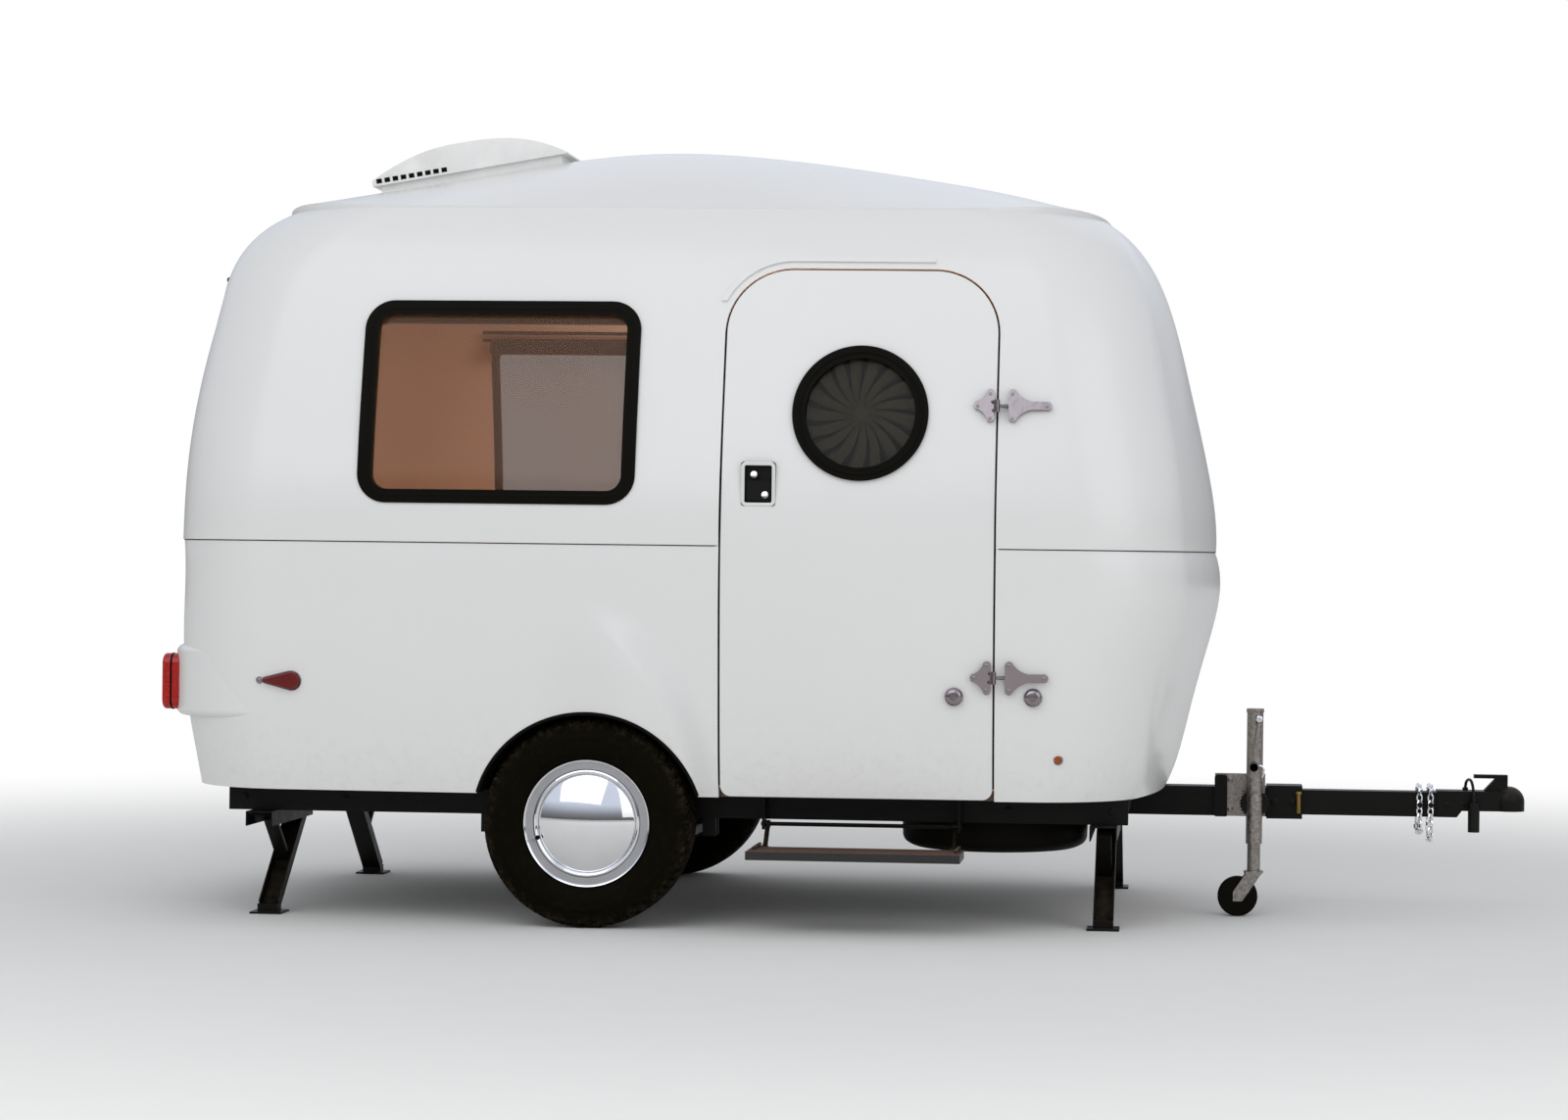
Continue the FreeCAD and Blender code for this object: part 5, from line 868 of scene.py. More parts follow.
class CARAVAN_OT_cabin(bpy.types.Operator):
    """Line the cabin, and hang the far window's rails and the two rolled blinds"""

    bl_idname = "caravan.cabin"
    bl_label = "Cabin lining"

    def execute(self, context):
        sizes = context.scene.caravan_sizes
        gap = sizes.lining_gap
        for node, body, name in (("lower_shell", "trailer", "low_lining"),
                                 ("upper_shell", "trailer", "high_lining"),
                                 ("door_panel", "door", "door_lining"),
                                 ("hatch_panel", "hatch", "hatch_lining")):
            lining_from(node, body, name, gap)
        tree = tree_of("upper_shell")
        above_window = WINDOW_HIGH.z + 0.03
        rail_radius = 0.006
        rail_off_wall = 0.02
        mesh = bmesh.new()
        for drop in (-0.010, 0.016):
            ends = []
            for x in (WINDOW_LOW.x, WINDOW_HIGH.x):
                wall_y = hit(tree, (x, 0.0, above_window), (0.0, STREET, 0.0))[0].y
                ends.append(Vector((x, wall_y - rail_off_wall, WINDOW_HIGH.z - drop)))
            along = ends[1] - ends[0]
            turned(mesh, ends[0], along, [(rail_radius, 0.0), (rail_radius, along.length)], 12)
        piece("curtain_rails", mesh, "rubber", "trailer")
        # The rollers' near-black plastic also does for painted shade along the top of the windows.
        roller = 0.024
        roller_off_wall = roller + 0.004
        roller_drop = 0.040
        end_disc = roller * 1.15
        inset = 0.03
        length = WINDOW_HIGH.x - WINDOW_LOW.x - 2 * inset
        profile = [(end_disc, 0.0), (end_disc, 0.012), (roller, 0.014), (roller, length - 0.014),
                   (end_disc, length - 0.012), (end_disc, length)]
        mesh = bmesh.new()
        for side in (KERB, STREET):
            window_x = middle("side_window_frames").x
            wall_y = hit(tree, (window_x, 0.0, above_window), (0.0, side, 0.0))[0].y
            start = Vector((WINDOW_LOW.x + inset, wall_y - side * roller_off_wall,
                            WINDOW_HIGH.z - roller_drop))
            turned(mesh, start, (1.0, 0.0, 0.0), profile, 24)
        piece("blind_rollers", mesh, "black_plastic", "trailer")
        return {"FINISHED"}


class CARAVAN_OT_arches(bpy.types.Operator):
    """Clip the rubber edging on the wheel arches"""

    bl_idname = "caravan.arches"
    bl_label = "Arch edging"
    steps = 72

    def execute(self, context):
        sizes = context.scene.caravan_sizes
        tree = tree_of("lower_shell")
        lowest = SILL_Z + 0.003
        foot = math.asin((lowest - sizes.arch_height) / sizes.arch_radius)
        half = sizes.edging / 2
        mesh = bmesh.new()
        for side in (KERB, STREET):
            path = []
            for step in range(self.steps + 1):
                turn = foot + (math.pi - 2 * foot) * step / self.steps
                ray = Vector((math.cos(turn), math.sin(turn)))
                probe = ray * (sizes.arch_radius + sizes.edging)
                seat = ray * (sizes.arch_radius - half * 0.2)
                probe_z = max(sizes.arch_height + probe.y, lowest)
                found, normal = side_hit(tree, WHEEL.x + probe.x, probe_z, side)
                path.append((Vector((WHEEL.x + seat.x, found.y, sizes.arch_height + seat.y)), normal))
            sweep(mesh, path, round_section(half, 0.0035, 10), False)
        piece("arch_edging", mesh, "rubber", "trailer")
        return {"FINISHED"}


def arc_through(first, middle_point, last, steps):
    """Points on the circle through three points, without the last."""
    (ax, ay), (bx, by), (cx, cy) = first, middle_point, last
    scale = 2 * (ax * (by - cy) + bx * (cy - ay) + cx * (ay - by))
    a, b, c = ax * ax + ay * ay, bx * bx + by * by, cx * cx + cy * cy
    ox = (a * (by - cy) + b * (cy - ay) + c * (ay - by)) / scale
    oy = (a * (cx - bx) + b * (ax - cx) + c * (bx - ax)) / scale
    radius = math.hypot(ax - ox, ay - oy)
    start = math.atan2(ay - oy, ax - ox)
    through = (math.atan2(by - oy, bx - ox) - start) % (2 * math.pi)
    sweep_angle = (math.atan2(cy - oy, cx - ox) - start) % (2 * math.pi)
    if through > sweep_angle:
        sweep_angle -= 2 * math.pi
    turns = [start + sweep_angle * step / steps for step in range(steps)]
    return [(ox + radius * math.cos(turn), oy + radius * math.sin(turn)) for turn in turns]


def tyre_rows(node):
    """Half section of a tyre as (across, radius, part) from its bead to its crown."""
    low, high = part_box(node)
    radius = (high.z - low.z) / 2
    half = (high.y - low.y) / 2
    bead = radius - 0.139
    shoulder = radius - 0.014
    tread = 0.066
    rows = [(half - 0.030, bead + 0.008, "side")]
    ridge_height = 0.0014
    corner = (tread + 0.006, shoulder)
    for y, r in arc_through((half - 0.026, bead + 0.016), (half, bead + 0.0695), corner, 26):
        on_ridge = 0.245 < r < 0.253 or 0.268 < r < 0.271
        rows.append((y + (ridge_height if on_ridge else 0.0), r, "side"))
    crown = arc_through(corner, (tread - 0.004, radius - 0.005), (tread - 0.022, radius - 0.001), 5)
    rows += [(y, r, "shoulder") for y, r in crown]
    outer_groove = 0.031
    groove = 0.0036
    edge = 0.0003
    for y in (outer_groove + groove + edge, outer_groove + groove):
        rows.append((y, radius - 0.0006, "block"))
    for y in (outer_groove + groove - edge, outer_groove - groove + edge):
        rows.append((y, radius - 0.0006, "groove"))
    for y in (outer_groove - groove, 0.018, groove + edge):
        rows.append((y, radius - 0.0002, "rib"))
    rows.append((groove - edge, radius, "groove"))
    return rows


class CARAVAN_OT_tyres(bpy.types.Operator):
    """Cut the tread and the rings of the two tyres"""

    bl_idname = "caravan.tyres"
    bl_label = "Tyres"

    def execute(self, context):
        sizes = context.scene.caravan_sizes
        for name in ("kerb", "street"):
            node = name + "_tyre"
            centre = middle(node)
            half_rows = tyre_rows(node)
            rows = half_rows + [(-y, r, part) for y, r, part in reversed(half_rows)]
            mesh = bmesh.new()
            rings = []
            pitches = sizes.tread_pitches
            phases = ((0.0, True), (0.16, True), (0.20, False), (0.50, False), (0.53, "sipe"), (0.57, "sipe"),
                      (0.60, False), (0.96, False))
            for pitch in range(pitches):
                for phase, cut in phases:
                    turn = 2 * math.pi * (pitch + phase) / pitches
                    ring = []
                    for y, radius, part in rows:
                        drop = 0.0
                        if part == "groove":
                            drop = sizes.tread_depth
                        elif part == "block" or (part == "shoulder" and radius > 0.292):
                            drop = sizes.tread_depth * (0.8 if cut is True else 0.0)
                        elif part == "rib" and cut == "sipe":
                            drop = sizes.tread_depth * 0.5
                        skew = turn + y * 1.4 * (1 if part != "side" else 0.8)
                        reach = radius - drop
                        ring.append(mesh.verts.new((centre.x + reach * math.cos(skew), centre.y + y,
                                                    centre.z + reach * math.sin(skew))))
                    rings.append(ring)
            for here, there in zip(rings, rings[1:] + rings[:1]):
                for at in range(len(rows)):
                    after = (at + 1) % len(rows)
                    mesh.faces.new((here[at], here[after], there[after], there[at]))
            piece(node + "_dressed", mesh, "tyre_side", name + "_wheel", replaced=(node,))
        return {"FINISHED"}


class CARAVAN_OT_wheel_trim(bpy.types.Operator):
    """Turn the chrome caps with their dished trim rings, and fit the valves"""

    bl_idname = "caravan.wheel_trim"
    bl_label = "Wheel trims"

    def execute(self, context):
        cap_radius = 0.142
        dome = 0.034
        ball = (cap_radius ** 2 + dome ** 2) / (2 * dome)
        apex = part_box("kerb_hubcap")[0].y
        top = abs(apex - WHEEL.y)
        edge = top - dome
        profile = [(cap_radius * step / 24, top - ball + math.sqrt(ball ** 2 - (cap_radius * step / 24) ** 2))
                   for step in range(24)]
        profile += [(0.1405, edge + 0.0006), (0.1418, edge - 0.0015), (0.1425, edge - 0.0035),
                    (0.1438, edge + 0.0020), (0.1462, edge + 0.0058), (0.1500, edge + 0.0078),
                    (0.1540, edge + 0.0068), (0.1572, edge + 0.0025), (0.1592, edge - 0.0028)]
        profile += [(0.1625, edge - 0.0052), (0.1670, edge - 0.0050), (0.1715, edge - 0.0012),
                    (0.1755, edge + 0.0052), (0.1790, edge + 0.0108), (0.1812, edge + 0.0132),
                    (0.1834, edge + 0.0138), (0.1850, edge + 0.0122), (0.1854, edge + 0.0090),
                    (0.1830, edge + 0.0040), (0.1600, edge - 0.0090), (0.1420, edge - 0.0090),
                    (0.0, edge - 0.0090)]
        valve_radius = 0.1690
        valve_turn = math.radians(197)
        valve = [(0.0070, 0.0), (0.0070, 0.004), (0.0042, 0.006), (0.0042, 0.014), (0.0055, 0.0145),
                 (0.0055, 0.024), (0.0046, 0.0255), (0.0, 0.0255)]
        hole_radius = 0.1490
        for name, side in (("kerb", KERB), ("street", STREET)):
            outward_way = Vector((0.0, side, 0.0))
            hub = middle(name + "_tyre")
            mesh = bmesh.new()
            turned(mesh, hub, outward_way, profile, 96)
            piece(name + "_trim_dressed", mesh, "mirror_chrome", name + "_wheel",
                  replaced=(name + "_hubcap",))
            ray = Vector((math.cos(valve_turn), 0.0, math.sin(valve_turn)))
            mesh = bmesh.new()
            foot = hub + ray * valve_radius + outward_way * (edge - 0.003)
            turned(mesh, foot, outward_way * 0.9 - ray * 0.3, valve, 16)
            piece(name + "_valve", mesh, "mirror_chrome", name + "_wheel")
            mesh = bmesh.new()
            seat = hub + ray * hole_radius + outward_way * (edge + 0.0055)
            turned(mesh, seat, outward_way, [(0.0068, 0.0), (0.0068, 0.0030), (0.0, 0.0032)], 20)
            piece(name + "_valve_hole", mesh, "rubber", name + "_wheel")
        return {"FINISHED"}


class CARAVAN_OT_latch(bpy.types.Operator):
    """Set the white rim and the two locks on the door's latch"""

    bl_idname = "caravan.latch"
    bl_label = "Door latch"

    def execute(self, context):
        low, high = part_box("door_latch")
        rim = 0.010
        corner = 0.010
        half = rim / 2
        outline = (low.x + half, low.z + half), (high.x - half, high.z - half)
        places = rounded_outline(*outline, corner, corner, 0.01)
        outward_way = Vector((0.0, KERB, 0.0))
        path = [(Vector((place.x, low.y + 0.0005, place.y)), outward_way) for place in places]
        mesh = bmesh.new()
        sweep(mesh, path, [(-half, -0.004), (half, -0.004), (half, 0.0012), (half * 0.5, 0.0026),
                           (-half * 0.5, 0.0026), (-half, 0.0012)], True)
        piece("latch_rim", mesh, "white_plastic", "door")
        tree = tree_of("door_latch")
        mesh = bmesh.new()
        for dx, dz in ((-0.012, 0.027), (0.020, -0.031)):
            spot = middle("door_latch") + Vector((dx, 0.0, dz))
            place = side_hit(tree, spot.x, spot.z, KERB)[0]
            turned(mesh, place, (0.0, -1.0, 0.18), [(0.0105, -0.002), (0.0105, 0.0018), (0.0096, 0.0030),
                                                    (0.0060, 0.0037), (0.0026, 0.0039), (0.0020, 0.0030),
                                                    (0.0, 0.0030)], 24)
        piece("latch_locks", mesh, "mirror_chrome", "door")
        return {"FINISHED"}


def lobe_spots(z, lobe_x, tip_x, spread=0.036):
    return [(lobe_x, z - spread), (lobe_x, z + spread), (tip_x, z)]


class CARAVAN_OT_hinge_screws(bpy.types.Operator):
    """Drive the screws of the door's two hinges"""

    bl_idname = "caravan.hinge_screws"
    bl_label = "Hinge screws"

    def execute(self, context):
        pin_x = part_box("door_hinge_leaves")[1].x - 0.009
        heights = (0.744, 1.521)
        for node, body, lobe, tip in (("door_hinge_leaves", "door", -0.020, -0.056),
                                      ("body_hinge_leaves", "trailer", 0.044, 0.144)):
            tree = tree_of(node)
            mesh = bmesh.new()
            for height in heights:
                for x, z in lobe_spots(height, pin_x + lobe, pin_x + tip):
                    place, normal = side_hit(tree, x, z, KERB)
                    screw(mesh, place - normal * 0.0008, normal, 0.0052)
            piece(node.replace("leaves", "screws"), mesh, "cast_chrome", body)
        return {"FINISHED"}


class CARAVAN_OT_lamps(bpy.types.Operator):
    """Rim and rib the tail lamps and the side lamps"""

    bl_idname = "caravan.lamps"
    bl_label = "Lamps"

    def execute(self, context):
        low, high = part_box("tail_lamps")
        width = 0.062
        gaskets = bmesh.new()
        ribs = bmesh.new()
        backward = Vector((-1.0, 0.0, 0.0))
        for side in (KERB, STREET):
            corners = sorted((side * high.y, side * (high.y - width)))
            radius = width / 2 - 0.0005
            places = rounded_outline((corners[0], low.z), (corners[1], high.z), radius, radius, 0.01)
            path = [(Vector((low.x + 0.028, place.x, place.y)), backward) for place in places]
            sweep(gaskets, path, round_section(0.0016, 0.0030, 8), True)
            for inset in (0.012, 0.017, 0.022, 0.027):
                outline = (corners[0] + inset, low.z + inset), (corners[1] - inset, high.z - inset)
                places = rounded_outline(*outline, radius - inset, radius - inset, 0.01)
                path = [(Vector((low.x + 0.0009, place.x, place.y)), backward) for place in places]
                sweep(ribs, path, round_section(0.0014, 0.0009, 8), True)
        piece("tail_lamp_gaskets", gaskets, "rubber", "trailer")
        piece("tail_lamp_ribs", ribs, "red_lens", "trailer")
        self.frame_side_lamps()
        return {"FINISHED"}

    @staticmethod
    def frame_side_lamps():
        """Chrome frames round the red drops, with a screw at each point, and rings round the amber lamps."""
        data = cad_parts["marker_lamps"].data
        rear = min(vertex.co.x for vertex in data.vertices)
        drop = [vertex.co for vertex in data.vertices if vertex.co.x < middle("marker_lamps").x]
        front = max(point.x for point in drop)
        height = (max(point.z for point in drop) + min(point.z for point in drop)) / 2
        amber_x = max(vertex.co.x for vertex in data.vertices) - 0.0115
        radius = 0.026
        tip_radius = 0.0065
        round_x = front - radius
        tip_x = rear + tip_radius
        lean = math.acos((radius - tip_radius) / (round_x - tip_x))
        boss = [(0.0105, -0.002), (0.0105, 0.0030), (0.0088, 0.0046), (0.0, 0.0048)]
        shells = tree_of("lower_shell")
        mesh = bmesh.new()
        for side in (KERB, STREET):
            places = []
            for centre, reach, start, end in ((round_x, radius, lean - math.pi, math.pi - lean),
                                              (tip_x, tip_radius, math.pi - lean, math.pi + lean)):
                for step in range(25):
                    turn = start + (end - start) * step / 24
                    places.append(Vector((centre + (reach + 0.002) * math.cos(turn),
                                          height + (reach + 0.002) * math.sin(turn))))
            probes = outward(places, 0.006)
            sweep(mesh, laid_on_side(shells, places, side, probes), round_section(0.0022, 0.0034, 8), True)
            boss_x = rear - 0.0105
            place, normal = side_hit(shells, boss_x, height, side)
            turned(mesh, place, normal, boss, 28)
            screw(mesh, place + normal * 0.0044, normal, 0.0058)
            ring = 0.0115
            place, normal = side_hit(shells, amber_x + ring * 1.4, AMBER_Z, side)
            turned(mesh, Vector((amber_x, place.y, AMBER_Z)), (0.0, side, 0.0),
                   [(ring + 0.0002, -0.003), (ring + 0.0035, -0.003), (ring + 0.0035, 0.0026),
                    (ring + 0.0022, 0.0040), (ring + 0.0002, 0.0040)], 36)
        piece("side_lamp_frames", mesh, "cast_chrome", "trailer")


class CARAVAN_OT_fan_details(bpy.types.Operator):
    """Set dark bars round the tail of the fan's cover, painted shade for the louvres' slots"""

    bl_idname = "caravan.fan_details"
    bl_label = "Fan louvres"

    def execute(self, context):
        low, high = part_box("fan_lid")
        pitch = math.radians(10)
        along = Vector((math.cos(pitch), 0.0, math.sin(pitch)))
        up = Vector((-math.sin(pitch), 0.0, math.cos(pitch)))
        half = (high.y - low.y) / 2
        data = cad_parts["fan_lid"].data
        tail = min(data.vertices, key=lambda vertex: vertex.co.dot(along)).co.dot(along)
        base = min(data.vertices, key=lambda vertex: vertex.co.dot(up)).co.dot(up)
        mesh = bmesh.new()

        def bar(first, second, thick, lift):
            place = along * (tail + first[0]) + up * (base + lift) + Vector((0.0, first[1], 0.0))
            run = along * (second[0] - first[0]) + Vector((0.0, second[1] - first[1], 0.0))
            across = run.cross(up).normalized() * thick
            tall = up * 0.014
            corners = [place - across, place + across, place + across + tall, place - across + tall]
            prism(mesh, corners, [corner + run for corner in corners])

        slots = 9
        length = 0.017
        for side in (KERB, STREET):
            for slot in range(slots):
                start = 0.014 + slot * 0.026
                bar((start, side * half), (start + length, side * half), 0.0012, 0.007)
        count = 13
        for slot in range(count):
            start = -half + 0.02 + slot * (2 * half - 0.04) / count
            bar((0.0, start), (0.0, start + length + 0.005), 0.0012, 0.007)
        # The bars' near-black rubber is painted shade standing in for the shaded openings of the slots.
        piece("fan_louvres", mesh, "rubber", "fan_cover", smooth=False)
        return {"FINISHED"}


class CARAVAN_OT_chassis_bolts(bpy.types.Operator):
    """Bolt the chassis, the drawbar, the jack and the coupler"""

    bl_idname = "caravan.chassis_bolts"
    bl_label = "Chassis bolts"

    def execute(self, context):
        tongue_low, tongue_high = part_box("tongue_beam")
        tongue = tree_of("tongue_beam", "drawbar", "coupler")
        rails = tree_of("chassis_frame")
        rail_low, rail_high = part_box("chassis_frame")
        dark = bmesh.new()
        centre_z = (tongue_low.z + tongue_high.z) / 2
        coupler_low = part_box("coupler")[0]
        coupler_z = 0.341
        rail_z = 0.350
        rows = ((tongue, centre_z, 0.0085, (tongue_high.x - 0.085, tongue_high.x - 0.030)),
                (tongue, coupler_z, 0.007, (coupler_low.x + 0.030, coupler_low.x + 0.075)),
                (rails, rail_z, 0.007, (rail_low.x + 0.05, rail_low.x + 0.35, rail_high.x - 0.35,
                                        rail_high.x - 0.05)))
        for side in (KERB, STREET):
            for tree, z, radius, spots in rows:
                for x in spots:
                    place, normal = side_hit(tree, x, z, side)
                    bolt(dark, place, normal, radius)
        piece("chassis_bolts", dark, "frame_paint", "trailer")
        mesh = bmesh.new()
        face_y = side_hit(tongue, tongue_high.x - 0.005, centre_z, KERB)[0].y
        pin = Vector((tongue_high.x - 0.012, face_y - 0.009, centre_z))
        pin_profile = [(0.0, -0.034), (0.0055, -0.033), (0.0070, -0.030), (0.0070, 0.024), (0.0095, 0.025),
                       (0.0095, 0.032), (0.0080, 0.034), (0.0, 0.034)]
        turned(mesh, pin, (0.0, 0.0, 1.0), pin_profile, 20)
        turned(mesh, pin, (0.0, 1.0, 0.0), [(0.0045, 0.0), (0.0045, 0.009)], 14)
        piece("drawbar_pin", mesh, "yellow_zinc", "trailer")
        mesh = bmesh.new()
        bracket = tree_of("jack_bracket")
        low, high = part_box("jack_bracket")
        for x in (low.x + 0.016, low.x + 0.048):
            for z in (low.z + 0.020, high.z - 0.020):
                place, normal = side_hit(bracket, x, z, KERB)
                bolt(mesh, place, normal, 0.006)
        piece("jack_bracket_bolts", mesh, "zinc_plate", "trailer")
        mesh = bmesh.new()
        block_width = 0.038
        corners = rounded_outline((low.x - 0.001, low.z - 0.001), (low.x + block_width, high.z - 0.004),
                                  0.004, 0.010, 0.05)
        face_y = side_hit(bracket, low.x + 0.03, (low.z + high.z) / 2, KERB)[0].y
        back, front = [[(corner.x, face_y + depth, corner.y) for corner in corners]
                       for depth in (0.002, -0.018)]
        prism(mesh, back, front)
        piece("jack_mount_block", mesh, "frame_paint", "trailer", smooth=False)
        return {"FINISHED"}


class CARAVAN_OT_jack_details(bpy.types.Operator):
    """Fit the jack's cap, its toothed lock disc, and the grip, hook and bolt of its crank"""

    bl_idname = "caravan.jack_details"
    bl_label = "Jack details"

    def execute(self, context):
        low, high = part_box("jack_tube")
        tube_x, tube_y = middle("jack_post").xy
        grip_drop = 0.175
        shaft_drop = 0.030
        pivot_z = 0.345
        mesh = bmesh.new()
        grip = Vector((tube_x - 0.004, low.y, high.z - grip_drop))
        ribs = [(0.0, 0.0), (0.0128, 0.0), (0.0148, 0.002)]
        for start in (0.010, 0.022, 0.034):
            ribs += [(0.0148, start), (0.0142, start + 0.002), (0.0148, start + 0.004)]
        turned(mesh, grip, (0.0, 1.0, 0.0), ribs + [(0.0148, 0.044), (0.0128, 0.046), (0.0, 0.046)], 24)
        piece("crank_grip", mesh, "black_plastic", "jack")
        mesh = bmesh.new()
        heart = grip + Vector((0.0, 0.020, 0.0))
        bends = ((0.012, 0.004), (0.022, 0.004), (0.029, -0.001), (0.031, -0.010), (0.030, -0.022),
                 (0.026, -0.032))
        path = [(heart + Vector((across, 0.0, up)), Vector((0.0, -1.0, 0.0))) for across, up in bends]
        sweep(mesh, path, round_section(0.0024, 0.0024, 8), False)
        shaft = Vector((tube_x + 0.012, low.y + 0.044, high.z - shaft_drop))
        bolt(mesh, shaft, (0.0, -1.0, 0.0), 0.0065)
        piece("crank_hook", mesh, "mirror_chrome", "jack")
        mesh = bmesh.new()
        teeth = 26
        flange = 0.0425
        rings = []
        pivot = Vector((tube_x, tube_y, pivot_z))
        for depth in (-0.0022, 0.0012):
            ring = []
            for step in range(teeth * 4):
                turn = 2 * math.pi * step / (teeth * 4)
                reach = flange + (0.0025 if step % 4 < 2 else -0.0010)
                ring.append(pivot + Vector((reach * math.cos(turn), depth, reach * math.sin(turn))))
            rings.append(ring)
        prism(mesh, *rings)
        piece("swivel_lock_disc", mesh, "frame_paint", "jack", smooth=False)
        mesh = bmesh.new()
        turned(mesh, (tube_x, tube_y, high.z - 0.006), (0.0, 0.0, 1.0),
               [(0.0252, -0.006), (0.0268, -0.006), (0.0268, 0.0055), (0.0, 0.0058)], 32)
        piece("jack_cap", mesh, "zinc_plate", "jack")
        return {"FINISHED"}


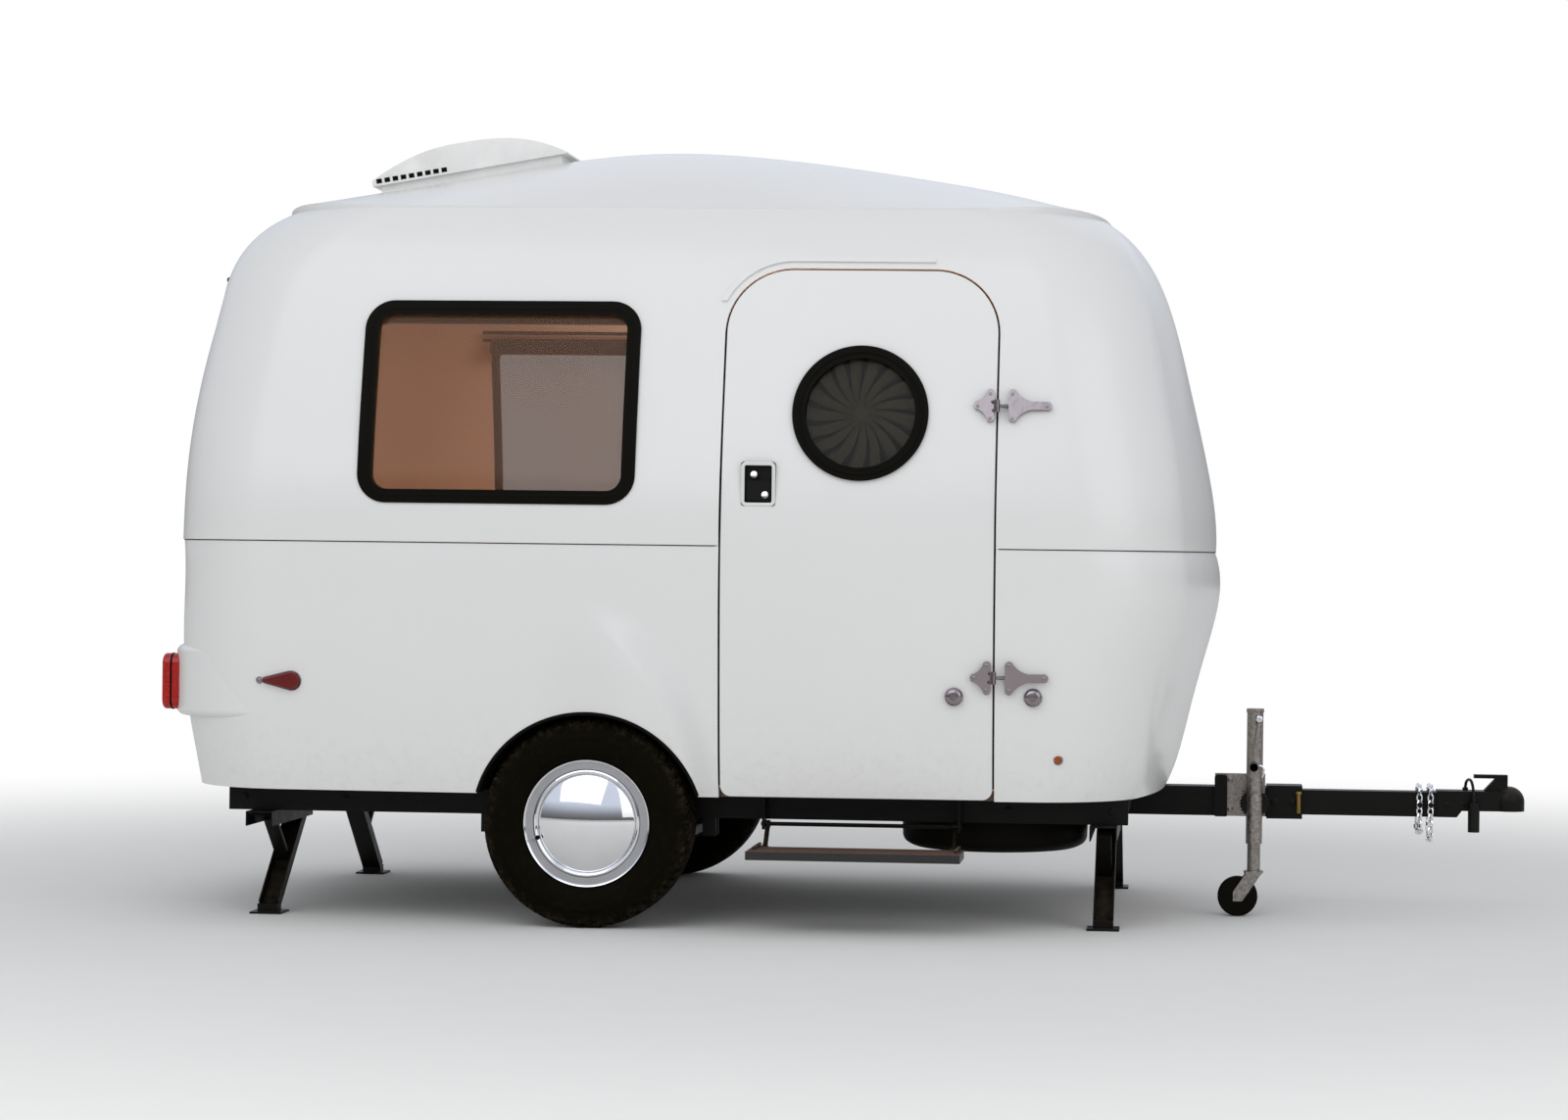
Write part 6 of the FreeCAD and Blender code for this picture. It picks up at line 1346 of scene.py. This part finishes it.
class CARAVAN_OT_studio(bpy.types.Operator):
    """Lay the pale floor, hang the lights and set the camera as in the photograph"""

    bl_idname = "caravan.studio"
    bl_label = "Studio"

    def execute(self, context):
        colours = context.scene.caravan_colours
        floor_mesh = bmesh.new()
        reach = 60.0
        corners = [floor_mesh.verts.new((x, y, 0.0)) for x, y in ((-reach, -reach), (reach, -reach),
                                                                  (reach, reach), (-reach, reach))]
        floor_mesh.faces.new(corners)
        data = bpy.data.meshes.new("studio_floor")
        floor_mesh.to_mesh(data)
        floor_mesh.free()
        floor = bpy.data.objects.new("studio_floor", data)
        context.scene.collection.objects.link(floor)
        finish = Finish("studio_floor")
        grain = finish.noise(6.0, 3.0)
        tone = finish.mix(grain, rgba(colours.floor, 0.985), rgba(colours.floor, 1.015))
        matt = finish.add("ShaderNodeBsdfPrincipled", (), {"Base Color": tone, "Roughness": 0.9}, "BSDF")
        glow = finish.add("ShaderNodeEmission", (), {"Color": (1.0, 1.0, 1.0, 1.0), "Strength": 1.0})
        across = finish.axis("X")
        away = finish.axis("Y")
        far = (across * across + away * away).math("SQRT").between(2.4, 7.0)
        camera_ray = finish.add("ShaderNodeLightPath", output="Is Camera Ray")
        mixed = finish.add("ShaderNodeMixShader", (), {0: far * camera_ray, 1: matt, 2: glow})
        finish.finish_with(mixed)
        data.materials.append(finish.owner)
        self.light_world(context)
        middle_place = Vector((0.0, 0.0, 1.0))
        self.hang_light(context, "key_light", (-2.6, -7.5, 6.6), 210.0, 8.0, middle_place)
        self.hang_light(context, "fill_light", (5.5, -6.0, 3.6), 90.0, 6.0, middle_place)
        self.hang_light(context, "back_light", (0.5, 7.5, 6.0), 40.0, 8.0, middle_place)
        cabin_light = self.hang_light(context, "cabin_light", (-0.45, 0.0, 2.10), 34.0, 0.9,
                                      Vector((-0.45, 0.0, 0.0)))
        cabin_light.visible_camera = False
        self.set_camera(context)
        return {"FINISHED"}

    @staticmethod
    def light_world(context):
        """White to the camera and through glass, a soft even light on everything else."""
        world = bpy.data.worlds.new("studio_world")
        context.scene.world = world
        finish = Finish("studio_world", world)
        ray = finish.add("ShaderNodeTexCoord", output="Generated")
        height = finish.add("ShaderNodeSeparateXYZ", (), {"Vector": ray}, output="Z")
        ramp = finish.add("ShaderNodeValToRGB",
                          {"stops": [(0.0, (0.62, 0.62, 0.62, 1.0)), (0.47, (0.55, 0.55, 0.55, 1.0)),
                                     (0.50, (0.10, 0.10, 0.10, 1.0)), (0.55, (0.24, 0.25, 0.28, 1.0)),
                                     (0.64, (0.66, 0.72, 0.84, 1.0)), (1.0, (0.74, 0.80, 0.92, 1.0))]},
                          {"Fac": height * 0.5 + 0.5}, output="Color")
        seen = finish.add("ShaderNodeBackground", (), {"Color": (1.0, 1.0, 1.0, 1.0), "Strength": 1.0})
        mirrored = finish.add("ShaderNodeBackground", (), {"Color": ramp, "Strength": 1.0})
        soft = finish.add("ShaderNodeBackground", (), {"Color": (0.97, 0.98, 1.0, 1.0), "Strength": 0.60})
        path = finish.add("ShaderNodeLightPath", output="Is Glossy Ray")
        camera_ray = finish.add("ShaderNodeLightPath", output="Is Camera Ray")
        through_ray = finish.add("ShaderNodeLightPath", output="Is Transmission Ray")
        lit = finish.add("ShaderNodeMixShader", (), {0: path, 1: soft, 2: mirrored})
        shown = camera_ray.math("MAXIMUM", through_ray)
        mixed = finish.add("ShaderNodeMixShader", (), {0: shown, 1: lit, 2: seen})
        finish.finish_with(mixed, "ShaderNodeOutputWorld")

    @staticmethod
    def hang_light(context, name, place, power, size, target):
        data = bpy.data.lights.new(name, "AREA")
        data.energy = power
        data.size = size
        light = bpy.data.objects.new(name, data)
        light.location = place
        light.rotation_euler = (target - light.location).to_track_quat("-Z", "Y").to_euler()
        context.scene.collection.objects.link(light)
        return light

    @staticmethod
    def set_camera(context):
        data = bpy.data.cameras.new("photo_camera")
        data.lens = 78.59
        data.shift_x = -0.10
        data.shift_y = -0.0079
        camera = bpy.data.objects.new("photo_camera", data)
        yaw = 0.0753
        pitch = 0.0019
        roll = 0.0125
        forward = Vector((-math.sin(yaw) * math.cos(pitch), math.cos(yaw) * math.cos(pitch), math.sin(pitch)))
        level = Vector((math.cos(yaw), math.sin(yaw), 0.0))
        upright = level.cross(forward)
        right = level * math.cos(roll) + upright * math.sin(roll)
        up = upright * math.cos(roll) - level * math.sin(roll)
        turn = Matrix((right, up, -forward)).transposed().to_4x4()
        camera.matrix_world = Matrix.Translation((1.0314, -10.6963, 1.0957)) @ turn
        context.scene.collection.objects.link(camera)
        context.scene.camera = camera


PIECES = (
    CARAVAN_OT_finishes,
    CARAVAN_OT_seals,
    CARAVAN_OT_belt,
    CARAVAN_OT_beads,
    CARAVAN_OT_porthole,
    CARAVAN_OT_cabin,
    CARAVAN_OT_arches,
    CARAVAN_OT_tyres,
    CARAVAN_OT_wheel_trim,
    CARAVAN_OT_latch,
    CARAVAN_OT_hinge_screws,
    CARAVAN_OT_lamps,
    CARAVAN_OT_fan_details,
    CARAVAN_OT_chassis_bolts,
    CARAVAN_OT_jack_details,
    CARAVAN_OT_studio,
)


class CARAVAN_PT_sidebar(bpy.types.Panel):
    """Lists the pieces that can be made and the sizes they take"""

    bl_idname = "CARAVAN_PT_sidebar"
    bl_label = "Caravan"
    bl_space_type = "VIEW_3D"
    bl_region_type = "UI"
    bl_category = "Caravan"

    def draw(self, context):
        layout = self.layout
        for maker in PIECES:
            layout.operator(maker.bl_idname)
        for group in (context.scene.caravan_sizes, context.scene.caravan_colours):
            column = layout.column(align=True)
            for name in group.__annotations__:
                column.prop(group, name)


CLASSES = (CaravanSizes, CaravanColours) + PIECES + (CARAVAN_PT_sidebar,)


def register():
    for made in CLASSES:
        bpy.utils.register_class(made)
    bpy.types.Scene.caravan_sizes = PointerProperty(type=CaravanSizes)
    bpy.types.Scene.caravan_colours = PointerProperty(type=CaravanColours)


def unregister():
    del bpy.types.Scene.caravan_colours
    del bpy.types.Scene.caravan_sizes
    for made in reversed(CLASSES):
        bpy.utils.unregister_class(made)


def main():
    register()
    bpy.context.scene.view_settings.view_transform = "Standard"
    for maker in PIECES:
        group, name = maker.bl_idname.split(".")
        getattr(getattr(bpy.ops, group), name)()


if __name__ == "__main__":
    main()
